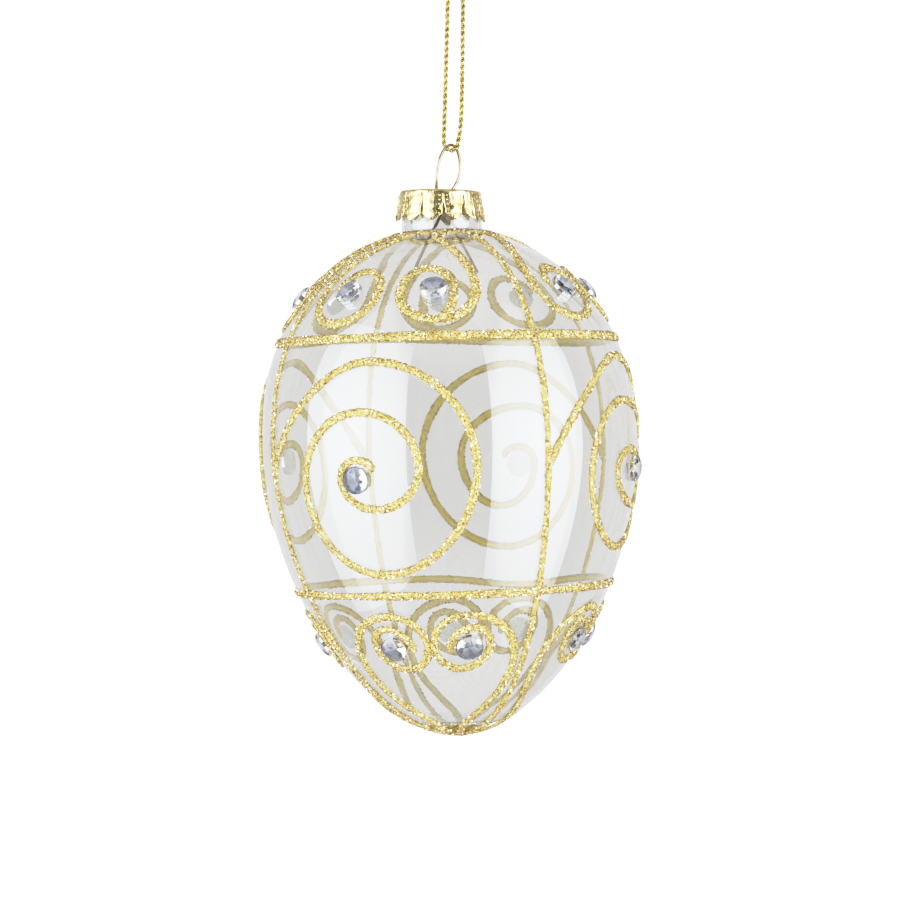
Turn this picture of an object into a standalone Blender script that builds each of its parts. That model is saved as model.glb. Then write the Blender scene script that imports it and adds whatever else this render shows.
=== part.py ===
"""Clear glass egg on a cord loop, with gold glitter curls, set stones, a petalled cap and a wire ring.

Metres, +Z up. The origin is the hanging point, at the inside top of the cord's loop, under its knot.
The egg hangs from the top of its wire ring, a little tilted. +Y is its back, +X its right-hand side.
Degrees go round the egg from its front, growing towards +X. Heights are over its widest plane.
"""

import math

import bmesh
import bpy
from mathutils import Vector

MM = 0.001
CLEARANCE = 0.3 * MM
HANG_TILT_DEG = -2.0

# Glass: a rounded crown and a longer, more pointed tip
EGG_RADIUS = 44.5 * MM
CROWN_HEIGHT = 51.9 * MM
TIP_DEPTH = 67.4 * MM
CROWN_FULLNESS = 2.287
CROWN_ROOT = 2.0
TIP_FULLNESS = 1.718
TIP_ROOT = 1.872
GLASS_WALL = 1.0 * MM
NECK_RADIUS = 9.6 * MM
NECK_TAPER = 0.6 * MM
NECK_LENGTH = 8.9 * MM
EGG_SIDES = 40
GLASS_STEP_DEG = 8.0
INSIDE_STEP_DEG = 10.0

# Glitter lines, raised on the glass
LINE_WIDTH = 1.6 * MM
UPPER_LINE_WIDTH = 1.8 * MM
MERIDIAN_WIDTH = 1.3 * MM
COLLAR_WIDTH = 2.2 * MM
COLLAR_GAP = 0.5 * MM
LINE_HEIGHT = 0.8 * MM
LINE_STEP = 6.0 * MM
LINE_TURN_DEG = 30.0
COLLAR_TURN_DEG = 15.0
TIP_BEAD_RADIUS = 3.2 * MM

UPPER_BAND_HEIGHT = 25.9 * MM
UPPER_BAND_WAVE = (-1.2 * MM, 130.0)
UPPER_BAND_BUMP = (2.4 * MM, 203.0, 48.0)
LOWER_BAND_DEPTH = 33.0 * MM
LOWER_BAND_WAVE = (0.6 * MM, 190.0)
LOWER_BAND_BUMP = (-2.1 * MM, 153.0, 22.0)
MERIDIAN_DEG = (-66.0, 30.0, 120.6, 207.0)
MERIDIAN_DRIFT_DEG = 6.0

# Set stones: round, flat behind, cut to a table in front
STONE_RADIUS = 3.2 * MM
STONE_GIRDLE = 0.5 * MM
STONE_HEIGHT = 2.2 * MM
STONE_TABLE_SHARE = 0.5
STONE_SIDES = 8

# The four large coils: middle (degrees, height), size, stone (degrees, height), slack and drop of the hook
COIL_REACH_DEG = 28.2
COIL_REACH = 24.2 * MM
COIL_TAIL_HEIGHT = -4.6 * MM
COILS = (
    (-20.3, -3.8 * MM, 1.00, -28.5, -6.2 * MM, 0.0, 6.9 * MM),
    (73.0, -1.9 * MM, 0.92, 74.5, -6.0 * MM, 8.0, 8.5 * MM),
    (162.5, -2.4 * MM, 0.94, 157.0, -4.9 * MM, 0.0, 10.2 * MM),
    (250.5, 0.3 * MM, 0.90, 243.5, -2.2 * MM, 2.0, 9.6 * MM),
)

# Mirrored pairs of curls over and under the bands
UPPER_PAIR_DEG = (-22.0, 73.5, 163.5, 250.0)
UPPER_PAIR_SPREAD_DEG = 18.0
UPPER_STONE_HEIGHT = 36.2 * MM
UPPER_CURL_REACH_DEG = 15.5
UPPER_CURL_DROP = 6.8 * MM
LOWER_PAIR_DEG = (-10.8, 80.2, 166.5, 256.8)
LOWER_PAIR_SPREAD_DEG = 16.3
LOWER_STONE_DEPTH = 45.0 * MM
LOWER_CURL_REACH_DEG = 15.0
LOWER_TAIL_REACH_DEG = 22.0
LOWER_CURL_RISE = 7.3 * MM
LOWER_TAIL_MEETING_DEG = 9.0

# Cap: a thin sheet drawn over the neck, slit into petals that flare
CAP_SHEET = 0.35 * MM
CAP_HEIGHT = 7.6 * MM
CAP_FLARE = 0.9 * MM
CAP_CORNER = 0.6 * MM
CAP_LEAN_DEG = 2.6
PETALS = 12
PETAL_TURN_DEG = 4.0
SLIT_HEIGHT = 4.4 * MM
SLIT_WIDTH = 1.1 * MM
PETAL_POINT = 1.5 * MM

# Wire: a ring over the cap, its legs crossed under it and sprung out inside the glass
WIRE_DIAMETER = 0.75 * MM
RING_HEIGHT = 10.9 * MM
RING_HALF_WIDTH = 4.9 * MM
RING_MIDDLE = 4.7 * MM
RING_TURN_DEG = 58.0
RING_SHIFT = 0.85 * MM
RING_LEAN_ALONG = 1.1 * MM
RING_LEAN_ACROSS = 1.75 * MM
RING_LEAN_BEND = 0.7
LEG_CROSS_DEPTH = 3.0 * MM
LEG_SLACK = 1.4 * MM
LEG_SPREAD = 15.0 * MM
LEG_LENGTH = 18.8 * MM
WIRE_STEP = 4.0 * MM
WIRE_TURN_DEG = 25.0
HOLE_MARGIN = 0.2 * MM

# Cord: one length doubled through the ring and knotted
CORD_DIAMETER = 1.2 * MM
CORD_STEP = 3.0 * MM
CORD_TURN_DEG = 24.0
PIVOT = (-1.0 * MM, 0.0, -40.3 * MM)
CORD_ROUTE = (
    (-0.85, 0.0, 1.1),
    (-0.95, 0.0, -1.0),
    (-1.55, 0.0, -3.6),
    (-1.84, 0.0, -7.0),
    (-2.25, 0.0, -22.0),
    (-2.68, 0.0, -36.0),
    (-2.78, 0.0, -39.4),
    (-2.42, 0.0, -40.9),
    (-1.00, 0.0, -41.6),
    (0.30, 0.0, -40.9),
    (0.62, 0.0, -39.4),
    (1.18, 0.0, -36.0),
    (1.52, 0.0, -28.0),
    (1.75, 0.0, -7.0),
    (1.50, 0.0, -3.6),
    (0.95, 0.0, -1.0),
    (0.85, 0.0, 1.1),
)
KNOT_RADIUS = 1.9 * MM
KNOT_HEIGHT = 3.2 * MM
KNOT_TAIL = 5.0 * MM
KNOT_TAIL_LEAN = 1.6 * MM


def material(name, colour, roughness, metallic=0.0, transmission=0.0):
    found = bpy.data.materials.new(name)
    found.use_nodes = True
    shader = found.node_tree.nodes["Principled BSDF"]
    shader.inputs["Base Color"].default_value = (*colour, 1.0)
    shader.inputs["Roughness"].default_value = roughness
    shader.inputs["Metallic"].default_value = metallic
    shader.inputs["Transmission Weight"].default_value = transmission
    found.diffuse_color = (*colour, 1.0)
    return found


def add_object(name, data, parent, surface):
    piece = bpy.data.objects.new(name, data)
    piece.parent = parent
    data.materials.append(surface)
    bpy.context.scene.collection.objects.link(piece)
    return piece


def closed_mesh(name, points, faces):
    """A mesh of these faces, all turned outwards."""
    shape = bmesh.new()
    corners = [shape.verts.new(point) for point in points]
    for face in faces:
        shape.faces.new([corners[i] for i in face])
    bmesh.ops.recalc_face_normals(shape, faces=shape.faces)
    mesh = bpy.data.meshes.new(name)
    shape.to_mesh(mesh)
    shape.free()
    return mesh


def turned(name, outline, sides, first_deg=0.0):
    """The outline of (radius, height) turned about the axis. A radius of 0 closes it there."""
    points = []
    rings = []
    for radius, height in outline:
        if radius <= 0.0:
            rings.append([len(points)])
            points.append((0.0, 0.0, height))
            continue
        rings.append([len(points) + i for i in range(sides)])
        for i in range(sides):
            angle = math.radians(first_deg) + 2 * math.pi * i / sides
            points.append((radius * math.cos(angle), radius * math.sin(angle), height))
    faces = []
    for upper, lower in zip(rings, rings[1:]):
        for i in range(sides):
            after = (i + 1) % sides
            if len(upper) == 1:
                faces.append((upper[0], lower[i], lower[after]))
            elif len(lower) == 1:
                faces.append((upper[i], lower[0], upper[after]))
            else:
                faces.append((upper[i], lower[i], lower[after], upper[after]))
    return closed_mesh(name, points, faces)


def ring_frames(line, ups, closed):
    """Sideways and upward directions at each point of a line that lies on a surface."""
    frames = []
    for i, up in enumerate(ups):
        before = line[i - 1] if closed or i else line[i]
        after = line[(i + 1) % len(line)] if closed or i + 1 < len(line) else line[i]
        side = (after - before).cross(up).normalized()
        frames.append((side, up))
    return frames


def ridge(name, line, ups, width, height, closed=False):
    """A raised line: a low ridge of three sides along a line, flat side down."""
    points = []
    for spot, (side, up) in zip(line, ring_frames(line, ups, closed)):
        points.append(spot - side * width / 2)
        points.append(spot + up * height)
        points.append(spot + side * width / 2)
    count = len(line)
    faces = []
    for i in range(count if closed else count - 1):
        after = (i + 1) % count
        for k in range(3):
            other = (k + 1) % 3
            faces.append((3 * i + k, 3 * after + k, 3 * after + other, 3 * i + other))
    if not closed:
        faces.append((0, 1, 2))
        faces.append((3 * count - 3, 3 * count - 2, 3 * count - 1))
    return closed_mesh(name, points, faces)


# The glass as a surface: degrees round it, and a run down it from the foot of the neck to the tip


def crown_height_at(radius):
    """Height at which the crown has this radius."""
    return CROWN_HEIGHT * (1.0 - (radius / EGG_RADIUS) ** CROWN_ROOT) ** (1.0 / CROWN_FULLNESS)


def glass_point(angle):
    """(radius, height) of the glass at an angle from the widest plane, up or down."""
    swell = math.cos(angle)
    rise = abs(math.sin(angle))
    if angle >= 0.0:
        return EGG_RADIUS * swell ** (2 / CROWN_ROOT), CROWN_HEIGHT * rise ** (2 / CROWN_FULLNESS)
    return EGG_RADIUS * max(swell, 0.0) ** (2 / TIP_ROOT), -TIP_DEPTH * rise ** (2 / TIP_FULLNESS)


def glass_rows(step_deg):
    """Points down the glass from the foot of the neck to the tip."""
    start = math.acos((NECK_RADIUS / EGG_RADIUS) ** (CROWN_ROOT / 2))
    sweep = start + math.pi / 2
    count = max(12, round(math.degrees(sweep) / step_deg))
    rows = [glass_point(start - sweep * i / count) for i in range(count)]
    return [*rows, (0.0, -TIP_DEPTH)]


FINE_STEP_DEG = 0.5
FINE_ROWS = glass_rows(FINE_STEP_DEG)
FINE_RUNS = [0.0]
for row, next_row in zip(FINE_ROWS, FINE_ROWS[1:]):
    FINE_RUNS.append(FINE_RUNS[-1] + math.dist(row, next_row))
TIP_RUN = FINE_RUNS[-1]


def run_at(height):
    """How far down the glass this height is."""
    for i, (upper, lower) in enumerate(zip(FINE_ROWS, FINE_ROWS[1:])):
        if lower[1] <= height:
            share = (upper[1] - height) / (upper[1] - lower[1])
            return FINE_RUNS[i] + share * (FINE_RUNS[i + 1] - FINE_RUNS[i])
    return TIP_RUN


def radius_at(height):
    """Radius of the glass at this height."""
    return surface(run_at(height))[0]


def surface(run):
    """(radius, height, outward part of the normal, upward part) at a run down the glass."""
    run = min(max(run, 0.0), TIP_RUN)
    i = next(k for k, far in enumerate(FINE_RUNS[1:]) if far >= run)
    upper = FINE_ROWS[i]
    lower = FINE_ROWS[i + 1]
    share = (run - FINE_RUNS[i]) / (FINE_RUNS[i + 1] - FINE_RUNS[i])
    radius = upper[0] + share * (lower[0] - upper[0])
    height = upper[1] + share * (lower[1] - upper[1])
    out = upper[1] - lower[1]
    up = lower[0] - upper[0]
    size = math.hypot(out, up)
    return radius, height, out / size, up / size


def on_glass(degrees, run, lift=0.0):
    """The point over the glass there, and the normal."""
    radius, height, out, up = surface(run)
    angle = math.radians(degrees)
    across = Vector((math.sin(angle), -math.cos(angle), 0.0))
    normal = across * out + Vector((0.0, 0.0, up))
    return across * radius + Vector((0.0, 0.0, height)) + normal * lift, normal


def thinned(line, ups, longest, turn_deg):
    """The line with a point after each bend of turn_deg or length of longest, whichever comes first."""
    kept = [0]
    bend = 0.0
    for i in range(1, len(line) - 1):
        bend += math.degrees((line[i] - line[i - 1]).angle(line[i + 1] - line[i], 0.0))
        if bend >= turn_deg or (line[i] - line[kept[-1]]).length >= longest:
            kept.append(i)
            bend = 0.0
    kept.append(len(line) - 1)
    return [line[i] for i in kept], [ups[i] for i in kept]


def quarter_turns(ends, steps=12):
    """A coiling line on the glass through its outermost points, with a quarter of an ellipse between each pair.

    Each end is (degrees, run), by turns the far side of the coil and its top or bottom, a side first.
    """
    line = []
    for k, (here, there) in enumerate(zip(ends, ends[1:])):
        for i in range(steps):
            angle = math.pi / 2 * i / steps
            far = math.cos(angle)
            near = math.sin(angle)
            if k % 2 == 0:
                line.append((there[0] + (here[0] - there[0]) * far, here[1] + (there[1] - here[1]) * near))
            else:
                line.append((here[0] + (there[0] - here[0]) * near, there[1] + (here[1] - there[1]) * far))
    return [*line, ends[-1]]


def bend_between(start, start_pull, end_pull, end, steps=16):
    """A smooth bend on the glass from start to end, which leaves and arrives along the two pulls."""
    line = []
    for i in range(steps):
        share = i / steps
        rest = 1.0 - share
        parts = (rest**3, 3 * rest**2 * share, 3 * rest * share**2, share**3)
        spots = (start, start_pull, end_pull, end)
        line.append(tuple(sum(part * spot[k] for part, spot in zip(parts, spots)) for k in (0, 1)))
    return line


def line_on_glass(name, trail, width, turn_deg=LINE_TURN_DEG, closed=False):
    """A glitter line along a trail of (degrees, run)."""
    spots = [on_glass(*place, CLEARANCE) for place in trail]
    line, ups = thinned([spot for spot, _ in spots], [up for _, up in spots], LINE_STEP, turn_deg)
    if closed:
        line, ups = line[:-1], ups[:-1]
    return ridge(name, line, ups, width, LINE_HEIGHT, closed)


# Trails of the glitter lines


def band_trail(height, wave, bump, steps=144):
    """Once round the egg, as unsteady as a hand that draws it.

    The wave is (rise, degrees) and slow. The bump is (rise, degrees, spread in degrees) and short.
    """
    trail = []
    for i in range(steps + 1):
        degrees = 360.0 * i / steps
        slow = (1.0 + math.cos(math.radians(degrees - wave[1]))) / 2
        short = math.exp(-(((degrees - bump[1]) / bump[2]) ** 2))
        trail.append((degrees, run_at(height + wave[0] * slow + bump[0] * short)))
    trail[-1] = (360.0, trail[0][1])
    return trail


COLLAR_RUN = COLLAR_GAP + COLLAR_WIDTH / 2


def collar_trail(steps=144):
    return [(360.0 * i / steps, COLLAR_RUN) for i in range(steps + 1)]


def meridian_trail(degrees, steps=100):
    """From the collar to the tip, drifting sideways as it nears the tip."""
    waist = run_at(0.0)
    trail = []
    for i in range(steps + 1):
        run = COLLAR_RUN + (TIP_RUN - COLLAR_RUN - TIP_BEAD_RADIUS / 2) * i / steps
        share = max(0.0, (run - waist) / (TIP_RUN - waist))
        trail.append((degrees + MERIDIAN_DRIFT_DEG * share**2, run))
    return trail


def stone_reach(width):
    """How far from a stone's middle a line that follows its rim runs."""
    return STONE_RADIUS + CLEARANCE + width / 2


def coil_trail(meridian, middle_deg, middle_height, size, stone_deg, stone_height, slack_deg, drop):
    """From the meridian over the coil's top, twice round and into the hook about its stone."""
    reach = stone_reach(LINE_WIDTH)
    reach_deg = math.degrees(reach / radius_at(stone_height))
    span = COIL_REACH_DEG * size
    tall = COIL_REACH * size
    tops = (
        (middle_deg - span / 6, run_at(middle_height + tall)),
        (middle_deg + span, run_at(middle_height)),
        (middle_deg - span / 10, run_at(middle_height - tall)),
        (middle_deg - span, run_at(middle_height - tall / 5)),
        (middle_deg - span / 4, run_at(middle_height + tall * 0.53)),
        (stone_deg + reach_deg * 3.4, run_at(middle_height)),
        (stone_deg + reach_deg, run_at(stone_height - drop)),
        (stone_deg - reach_deg - slack_deg, run_at(stone_height)),
        (stone_deg - slack_deg / 2, run_at(stone_height + reach)),
        (stone_deg + reach_deg * 0.9, run_at(stone_height + reach * 0.4)),
    )
    tail_end = (meridian, run_at(COIL_TAIL_HEIGHT))
    rise = tail_end[1] - tops[0][1]
    tail = bend_between(
        tail_end,
        (meridian + span * 0.25, tail_end[1] - rise * 0.4),
        (tops[0][0] - span * 0.55, tops[0][1]),
        tops[0],
    )
    return tail + quarter_turns_from_top(tops)


def quarter_turns_from_top(ends):
    """quarter_turns for a coil whose first outermost point is its top or bottom."""
    turned_ends = [(run, degrees) for degrees, run in ends]
    return [(degrees, run) for run, degrees in quarter_turns(turned_ends)]


def upper_curl_trail(stone_deg, hand):
    """From the collar down one side of the stone, once round it and in towards it."""
    reach = stone_reach(UPPER_LINE_WIDTH)
    reach_deg = math.degrees(reach / radius_at(UPPER_STONE_HEIGHT))
    wide = UPPER_CURL_REACH_DEG
    ends = (
        (stone_deg - hand * wide, run_at(UPPER_STONE_HEIGHT + reach / 4)),
        (stone_deg - hand * wide / 8, run_at(UPPER_STONE_HEIGHT - UPPER_CURL_DROP)),
        (stone_deg + hand * wide, run_at(UPPER_STONE_HEIGHT)),
        (stone_deg + hand * wide / 5, run_at(UPPER_STONE_HEIGHT + reach * 1.12)),
        (stone_deg - hand * reach_deg, run_at(UPPER_STONE_HEIGHT + reach / 5)),
    )
    drop = ends[0][1] - COLLAR_RUN
    tail = bend_between(
        (stone_deg + hand * wide * 0.4, COLLAR_RUN),
        (stone_deg - hand * wide * 0.2, COLLAR_RUN + drop * 0.25),
        (ends[0][0], ends[0][1] - drop * 0.45),
        ends[0],
    )
    return tail + quarter_turns(ends)


def lower_curl_trail(stone_deg, pair_deg, hand):
    """From the tip up one side of the stone, over it, down and round under it."""
    reach = stone_reach(LINE_WIDTH)
    reach_deg = math.degrees(reach / radius_at(-LOWER_STONE_DEPTH))
    wide = LOWER_CURL_REACH_DEG
    ends = (
        (stone_deg - hand * LOWER_TAIL_REACH_DEG, run_at(-LOWER_STONE_DEPTH - reach * 1.2)),
        (stone_deg + hand * wide / 15, run_at(-LOWER_STONE_DEPTH + LOWER_CURL_RISE)),
        (stone_deg + hand * wide, run_at(-LOWER_STONE_DEPTH)),
        (stone_deg + hand * wide / 4, run_at(-LOWER_STONE_DEPTH - reach * 1.2)),
        (stone_deg - hand * reach_deg * 1.1, run_at(-LOWER_STONE_DEPTH)),
        (stone_deg - hand * reach_deg / 5, run_at(-LOWER_STONE_DEPTH + reach)),
    )
    near_tip = TIP_RUN - TIP_BEAD_RADIUS * (0.6 + hand * 0.1)
    tail = bend_between(
        (pair_deg - hand * LOWER_TAIL_MEETING_DEG, near_tip),
        (pair_deg - hand * wide * 0.7, near_tip - (near_tip - ends[0][1]) * 0.4),
        (ends[0][0], ends[0][1] + (near_tip - ends[0][1]) * 0.5),
        ends[0],
    )
    return tail + quarter_turns(ends)


def tip_bead(name, sides=16):
    """The thick spot of glitter on the tip, where the lines run together."""
    outline = [(0.0, surface(TIP_RUN)[1] - CLEARANCE - LINE_HEIGHT)]
    for share in (0.6, 1.0):
        radius, height, out, up = surface(TIP_RUN - TIP_BEAD_RADIUS * share)
        lift = CLEARANCE + LINE_HEIGHT * (1.0 - share**4)
        outline.append((radius + out * lift, height + up * lift))
    for share in (0.6, 0.0):
        radius, height, out, up = surface(TIP_RUN - TIP_BEAD_RADIUS * share)
        outline.append((radius + out * CLEARANCE if share else 0.0, height + up * CLEARANCE))
    return turned(name, outline, sides, 11.0)


# Pieces


def glass_mesh():
    """The egg: a thin wall with its inside open through the neck."""
    outer = glass_rows(GLASS_STEP_DEG)
    rim = outer[0][1] + NECK_LENGTH
    rim_radius = NECK_RADIUS - NECK_TAPER
    inner = []
    for radius, height in glass_rows(INSIDE_STEP_DEG)[1:-1]:
        _, _, out, up = surface(run_at(height))
        inner.append((radius - out * GLASS_WALL, height - up * GLASS_WALL))
    neck_inside = NECK_RADIUS - GLASS_WALL
    inner = [place for place in inner if place[0] > neck_inside]
    outline = [
        (0.0, -TIP_DEPTH + GLASS_WALL),
        *reversed(inner),
        (neck_inside, outer[0][1] - GLASS_WALL / 2),
        (rim_radius - GLASS_WALL, rim),
        (rim_radius, rim),
        (NECK_RADIUS - NECK_TAPER / 4, outer[0][1] + NECK_LENGTH / 5),
        *outer,
    ]
    return turned("glass_egg", outline, EGG_SIDES)


def rim_height():
    return crown_height_at(NECK_RADIUS) + NECK_LENGTH


def cap_top_height():
    """The outside of the cap's top. Its lean keeps it clear of the neck's rim on the low side."""
    lean_room = (NECK_RADIUS - NECK_TAPER) * math.tan(math.radians(CAP_LEAN_DEG))
    return rim_height() + CLEARANCE + lean_room + CAP_SHEET


def cap_mesh():
    """The cap about the middle of its top: a drawn disc with a skirt of petals that end in points."""
    top_radius = NECK_RADIUS - NECK_TAPER + CLEARANCE + CAP_SHEET
    skirt_radius = top_radius + CAP_FLARE
    slit_top = -(CAP_HEIGHT - SLIT_HEIGHT)
    slit_foot = -(CAP_HEIGHT - PETAL_POINT)
    slit_deg = math.degrees(SLIT_WIDTH / 2 / skirt_radius)
    petal_deg = 360.0 / PETALS
    points = []

    def spot(radius, degrees, height):
        angle = math.radians(degrees + PETAL_TURN_DEG)
        points.append((radius * math.sin(angle), -radius * math.cos(angle), height))
        return len(points) - 1

    def skirt(height):
        share = (-height - CAP_CORNER) / (CAP_HEIGHT - CAP_CORNER)
        return top_radius + CAP_FLARE * max(0.0, share)

    def wall(inset, lid):
        """One side of the sheet, as rows that the faces join."""
        rows = {"lid": [], "edge": [], "head": [], "foot_left": [], "foot_right": []}
        for i in range(2 * PETALS):
            degrees = petal_deg * i / 2
            rows["lid"].append(spot(top_radius - CAP_CORNER, degrees, lid))
            rows["edge"].append(spot(top_radius - inset, degrees, lid - CAP_CORNER + inset))
            rows["head"].append(spot(skirt(slit_top) - inset, degrees, slit_top))
        for i in range(PETALS):
            left = petal_deg * i + slit_deg
            right = petal_deg * (i + 1) - slit_deg
            rows["foot_left"].append(spot(skirt(slit_foot) - inset, left, slit_foot))
            rows["foot_right"].append(spot(skirt(slit_foot) - inset, right, slit_foot))
        rows["tip"] = [
            spot(skirt_radius - inset, petal_deg * (i + 0.5), -CAP_HEIGHT) for i in range(PETALS)
        ]
        return rows

    outer = wall(0.0, 0.0)
    inner = wall(CAP_SHEET, -CAP_SHEET)
    faces = []
    for rows in (outer, inner):
        faces.append(tuple(rows["lid"]))
        for i in range(2 * PETALS):
            after = (i + 1) % (2 * PETALS)
            faces.append((rows["lid"][i], rows["edge"][i], rows["edge"][after], rows["lid"][after]))
            faces.append((rows["edge"][i], rows["head"][i], rows["head"][after], rows["edge"][after]))
        for i in range(PETALS):
            left, middle = rows["head"][2 * i], rows["head"][2 * i + 1]
            right = rows["head"][(2 * i + 2) % (2 * PETALS)]
            faces.append((left, rows["foot_left"][i], rows["tip"][i], middle))
            faces.append((middle, rows["tip"][i], rows["foot_right"][i], right))
    for i in range(PETALS):
        right = (2 * i + 2) % (2 * PETALS)
        rim = (
            (outer["head"][2 * i], inner["head"][2 * i]),
            (outer["foot_left"][i], inner["foot_left"][i]),
            (outer["tip"][i], inner["tip"][i]),
            (outer["foot_right"][i], inner["foot_right"][i]),
            (outer["head"][right], inner["head"][right]),
        )
        for here, there in zip(rim, rim[1:]):
            faces.append((here[0], there[0], there[1], here[1]))
    return closed_mesh("gold_cap", points, faces)


def stone_mesh():
    """A round stone on its flat back, cut to a table."""
    table = STONE_RADIUS * STONE_TABLE_SHARE
    outline = [
        (0.0, 0.0),
        (STONE_RADIUS, 0.0),
        (STONE_RADIUS, STONE_GIRDLE),
        (table, STONE_HEIGHT),
        (0.0, STONE_HEIGHT),
    ]
    return turned("stone", outline, STONE_SIDES)


def smooth_route(route, steps=16):
    """Points of a smooth curve through the route's own points."""
    spots = [Vector(place) for place in route]
    ends = [spots[0] * 2 - spots[1], *spots, spots[-1] * 2 - spots[-2]]
    line = []
    for before, here, there, after in zip(ends, ends[1:], ends[2:], ends[3:]):
        for i in range(steps):
            share = i / steps
            pull = (there - before) / 2
            push = (after - here) / 2
            line.append(
                here * (2 * share**3 - 3 * share**2 + 1)
                + pull * (share**3 - 2 * share**2 + share)
                + there * (3 * share**2 - 2 * share**3)
                + push * (share**3 - share**2)
            )
    return [*line, spots[-1]]


def tube_curve(name, line, diameter, sides_level):
    curve = bpy.data.curves.new(name, "CURVE")
    curve.dimensions = "3D"
    curve.bevel_depth = diameter / 2
    curve.bevel_resolution = sides_level
    curve.use_fill_caps = True
    spline = curve.splines.new("POLY")
    spline.points.add(len(line) - 1)
    for point, spot in zip(spline.points, line):
        point.co = (*spot, 1.0)
    spline.use_smooth = True
    return curve


def ring_directions():
    """Along the plane of the wire ring, and across it."""
    turn = math.radians(RING_TURN_DEG)
    along = Vector((math.cos(turn), math.sin(turn), 0.0))
    across = Vector((math.sin(turn), -math.cos(turn), 0.0))
    return along, across


def ring_top():
    """The top of the wire's centre line, from the middle of the egg's widest plane."""
    along, across = ring_directions()
    lean = along * RING_LEAN_ALONG + across * RING_LEAN_ACROSS
    return lean + Vector((RING_SHIFT, 0.0, cap_top_height() + RING_HEIGHT))


def wire_line():
    """The wire from one leg's end, up through the cap, round the ring and down to the other leg's end."""
    along, across = ring_directions()
    base = Vector((RING_SHIFT, 0.0, cap_top_height()))
    half_height = RING_HEIGHT - RING_MIDDLE
    start = math.asin(RING_MIDDLE / half_height)
    neck_spread = NECK_RADIUS - GLASS_WALL - WIRE_DIAMETER / 2 - LEG_SLACK
    neck_drop = cap_top_height() - crown_height_at(NECK_RADIUS)
    apart = WIRE_DIAMETER / 2 + CLEARANCE

    def leg(side):
        return [
            (side * LEG_SPREAD, apart * -side, -LEG_LENGTH),
            (side * neck_spread, apart * -side, -neck_drop),
            (0.0, apart * -side, -LEG_CROSS_DEPTH),
        ]

    route = leg(1.0)
    steps = 10
    for i in range(steps + 1):
        angle = math.pi + start - (math.pi + 2 * start) * i / steps
        height = RING_MIDDLE + half_height * math.sin(angle)
        share = max(0.0, height / RING_HEIGHT) ** RING_LEAN_BEND
        route.append(
            (
                RING_HALF_WIDTH * math.cos(angle) + RING_LEAN_ALONG * share,
                RING_LEAN_ACROSS * share,
                height,
            )
        )
    route.extend(reversed(leg(-1.0)))
    spots = [base + along * a + across * c + Vector((0.0, 0.0, h)) for a, c, h in route]
    line = smooth_route(spots)
    return thinned(line, line, WIRE_STEP, WIRE_TURN_DEG)[0]


def holes_in_cap(line):
    """Where the wire goes through the cap's top."""
    level = cap_top_height() - CAP_SHEET / 2
    found = []
    for here, there in zip(line, line[1:]):
        if (here.z - level) * (there.z - level) < 0.0:
            found.append(here.lerp(there, (level - here.z) / (there.z - here.z)))
    return found


def build():
    for old in list(bpy.data.objects):
        bpy.data.objects.remove(old)

    glass = material("clear_glass", (0.97, 0.99, 0.97), 0.02, transmission=1.0)
    glitter = material("gold_glitter", (0.78, 0.60, 0.22), 0.35, metallic=0.9)
    crystal = material("crystal", (0.80, 0.85, 0.95), 0.05, transmission=0.5)
    gold = material("polished_gold", (0.88, 0.72, 0.36), 0.16, metallic=1.0)
    thread = material("gold_thread", (0.72, 0.60, 0.30), 0.4, metallic=0.7)

    pivot = bpy.data.objects.new("pivot", None)
    pivot.location = PIVOT
    pivot.rotation_euler = (0.0, math.radians(HANG_TILT_DEG), 0.0)
    middle = bpy.data.objects.new("egg_middle", None)
    middle.parent = pivot
    middle.location = -ring_top()
    for empty in (pivot, middle):
        bpy.context.scene.collection.objects.link(empty)

    egg = add_object("glass_egg", glass_mesh(), middle, glass)
    egg.data.shade_smooth()
    egg.data.set_sharp_from_angle(angle=math.radians(40.0))

    build_tracery(middle, glitter)
    build_stones(middle, crystal)

    wire = wire_line()
    add_object("wire_hanger", tube_curve("wire_hanger", wire, WIRE_DIAMETER, 1), middle, gold)
    cap = add_object("gold_cap", cap_mesh(), middle, gold)
    cap.location = (0.0, 0.0, cap_top_height())
    cap.rotation_euler = (0.0, math.radians(CAP_LEAN_DEG), 0.0)
    for i, spot in enumerate(holes_in_cap(wire)):
        radius = WIRE_DIAMETER / 2 + CLEARANCE + HOLE_MARGIN
        depth = CAP_SHEET + 2 * CLEARANCE + 2 * (NECK_RADIUS * math.tan(math.radians(CAP_LEAN_DEG)))
        outline = [(0.0, -depth), (radius, -depth), (radius, depth), (0.0, depth)]
        cutter = add_object(f"cap_hole_{i + 1}", turned("cap_hole", outline, 10), middle, gold)
        cutter.location = spot
        cutter.hide_render = True
        cutter.display_type = "WIRE"
        cut = cap.modifiers.new(f"hole_{i + 1}", "BOOLEAN")
        cut.operation = "DIFFERENCE"
        cut.object = cutter

    cord_line = smooth_route([Vector(place) * MM for place in CORD_ROUTE])
    cord_line = thinned(cord_line, cord_line, CORD_STEP, CORD_TURN_DEG)[0]
    add_object("cord_loop", tube_curve("cord_loop", cord_line, CORD_DIAMETER, 2), None, thread)
    build_knot(thread)


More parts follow.
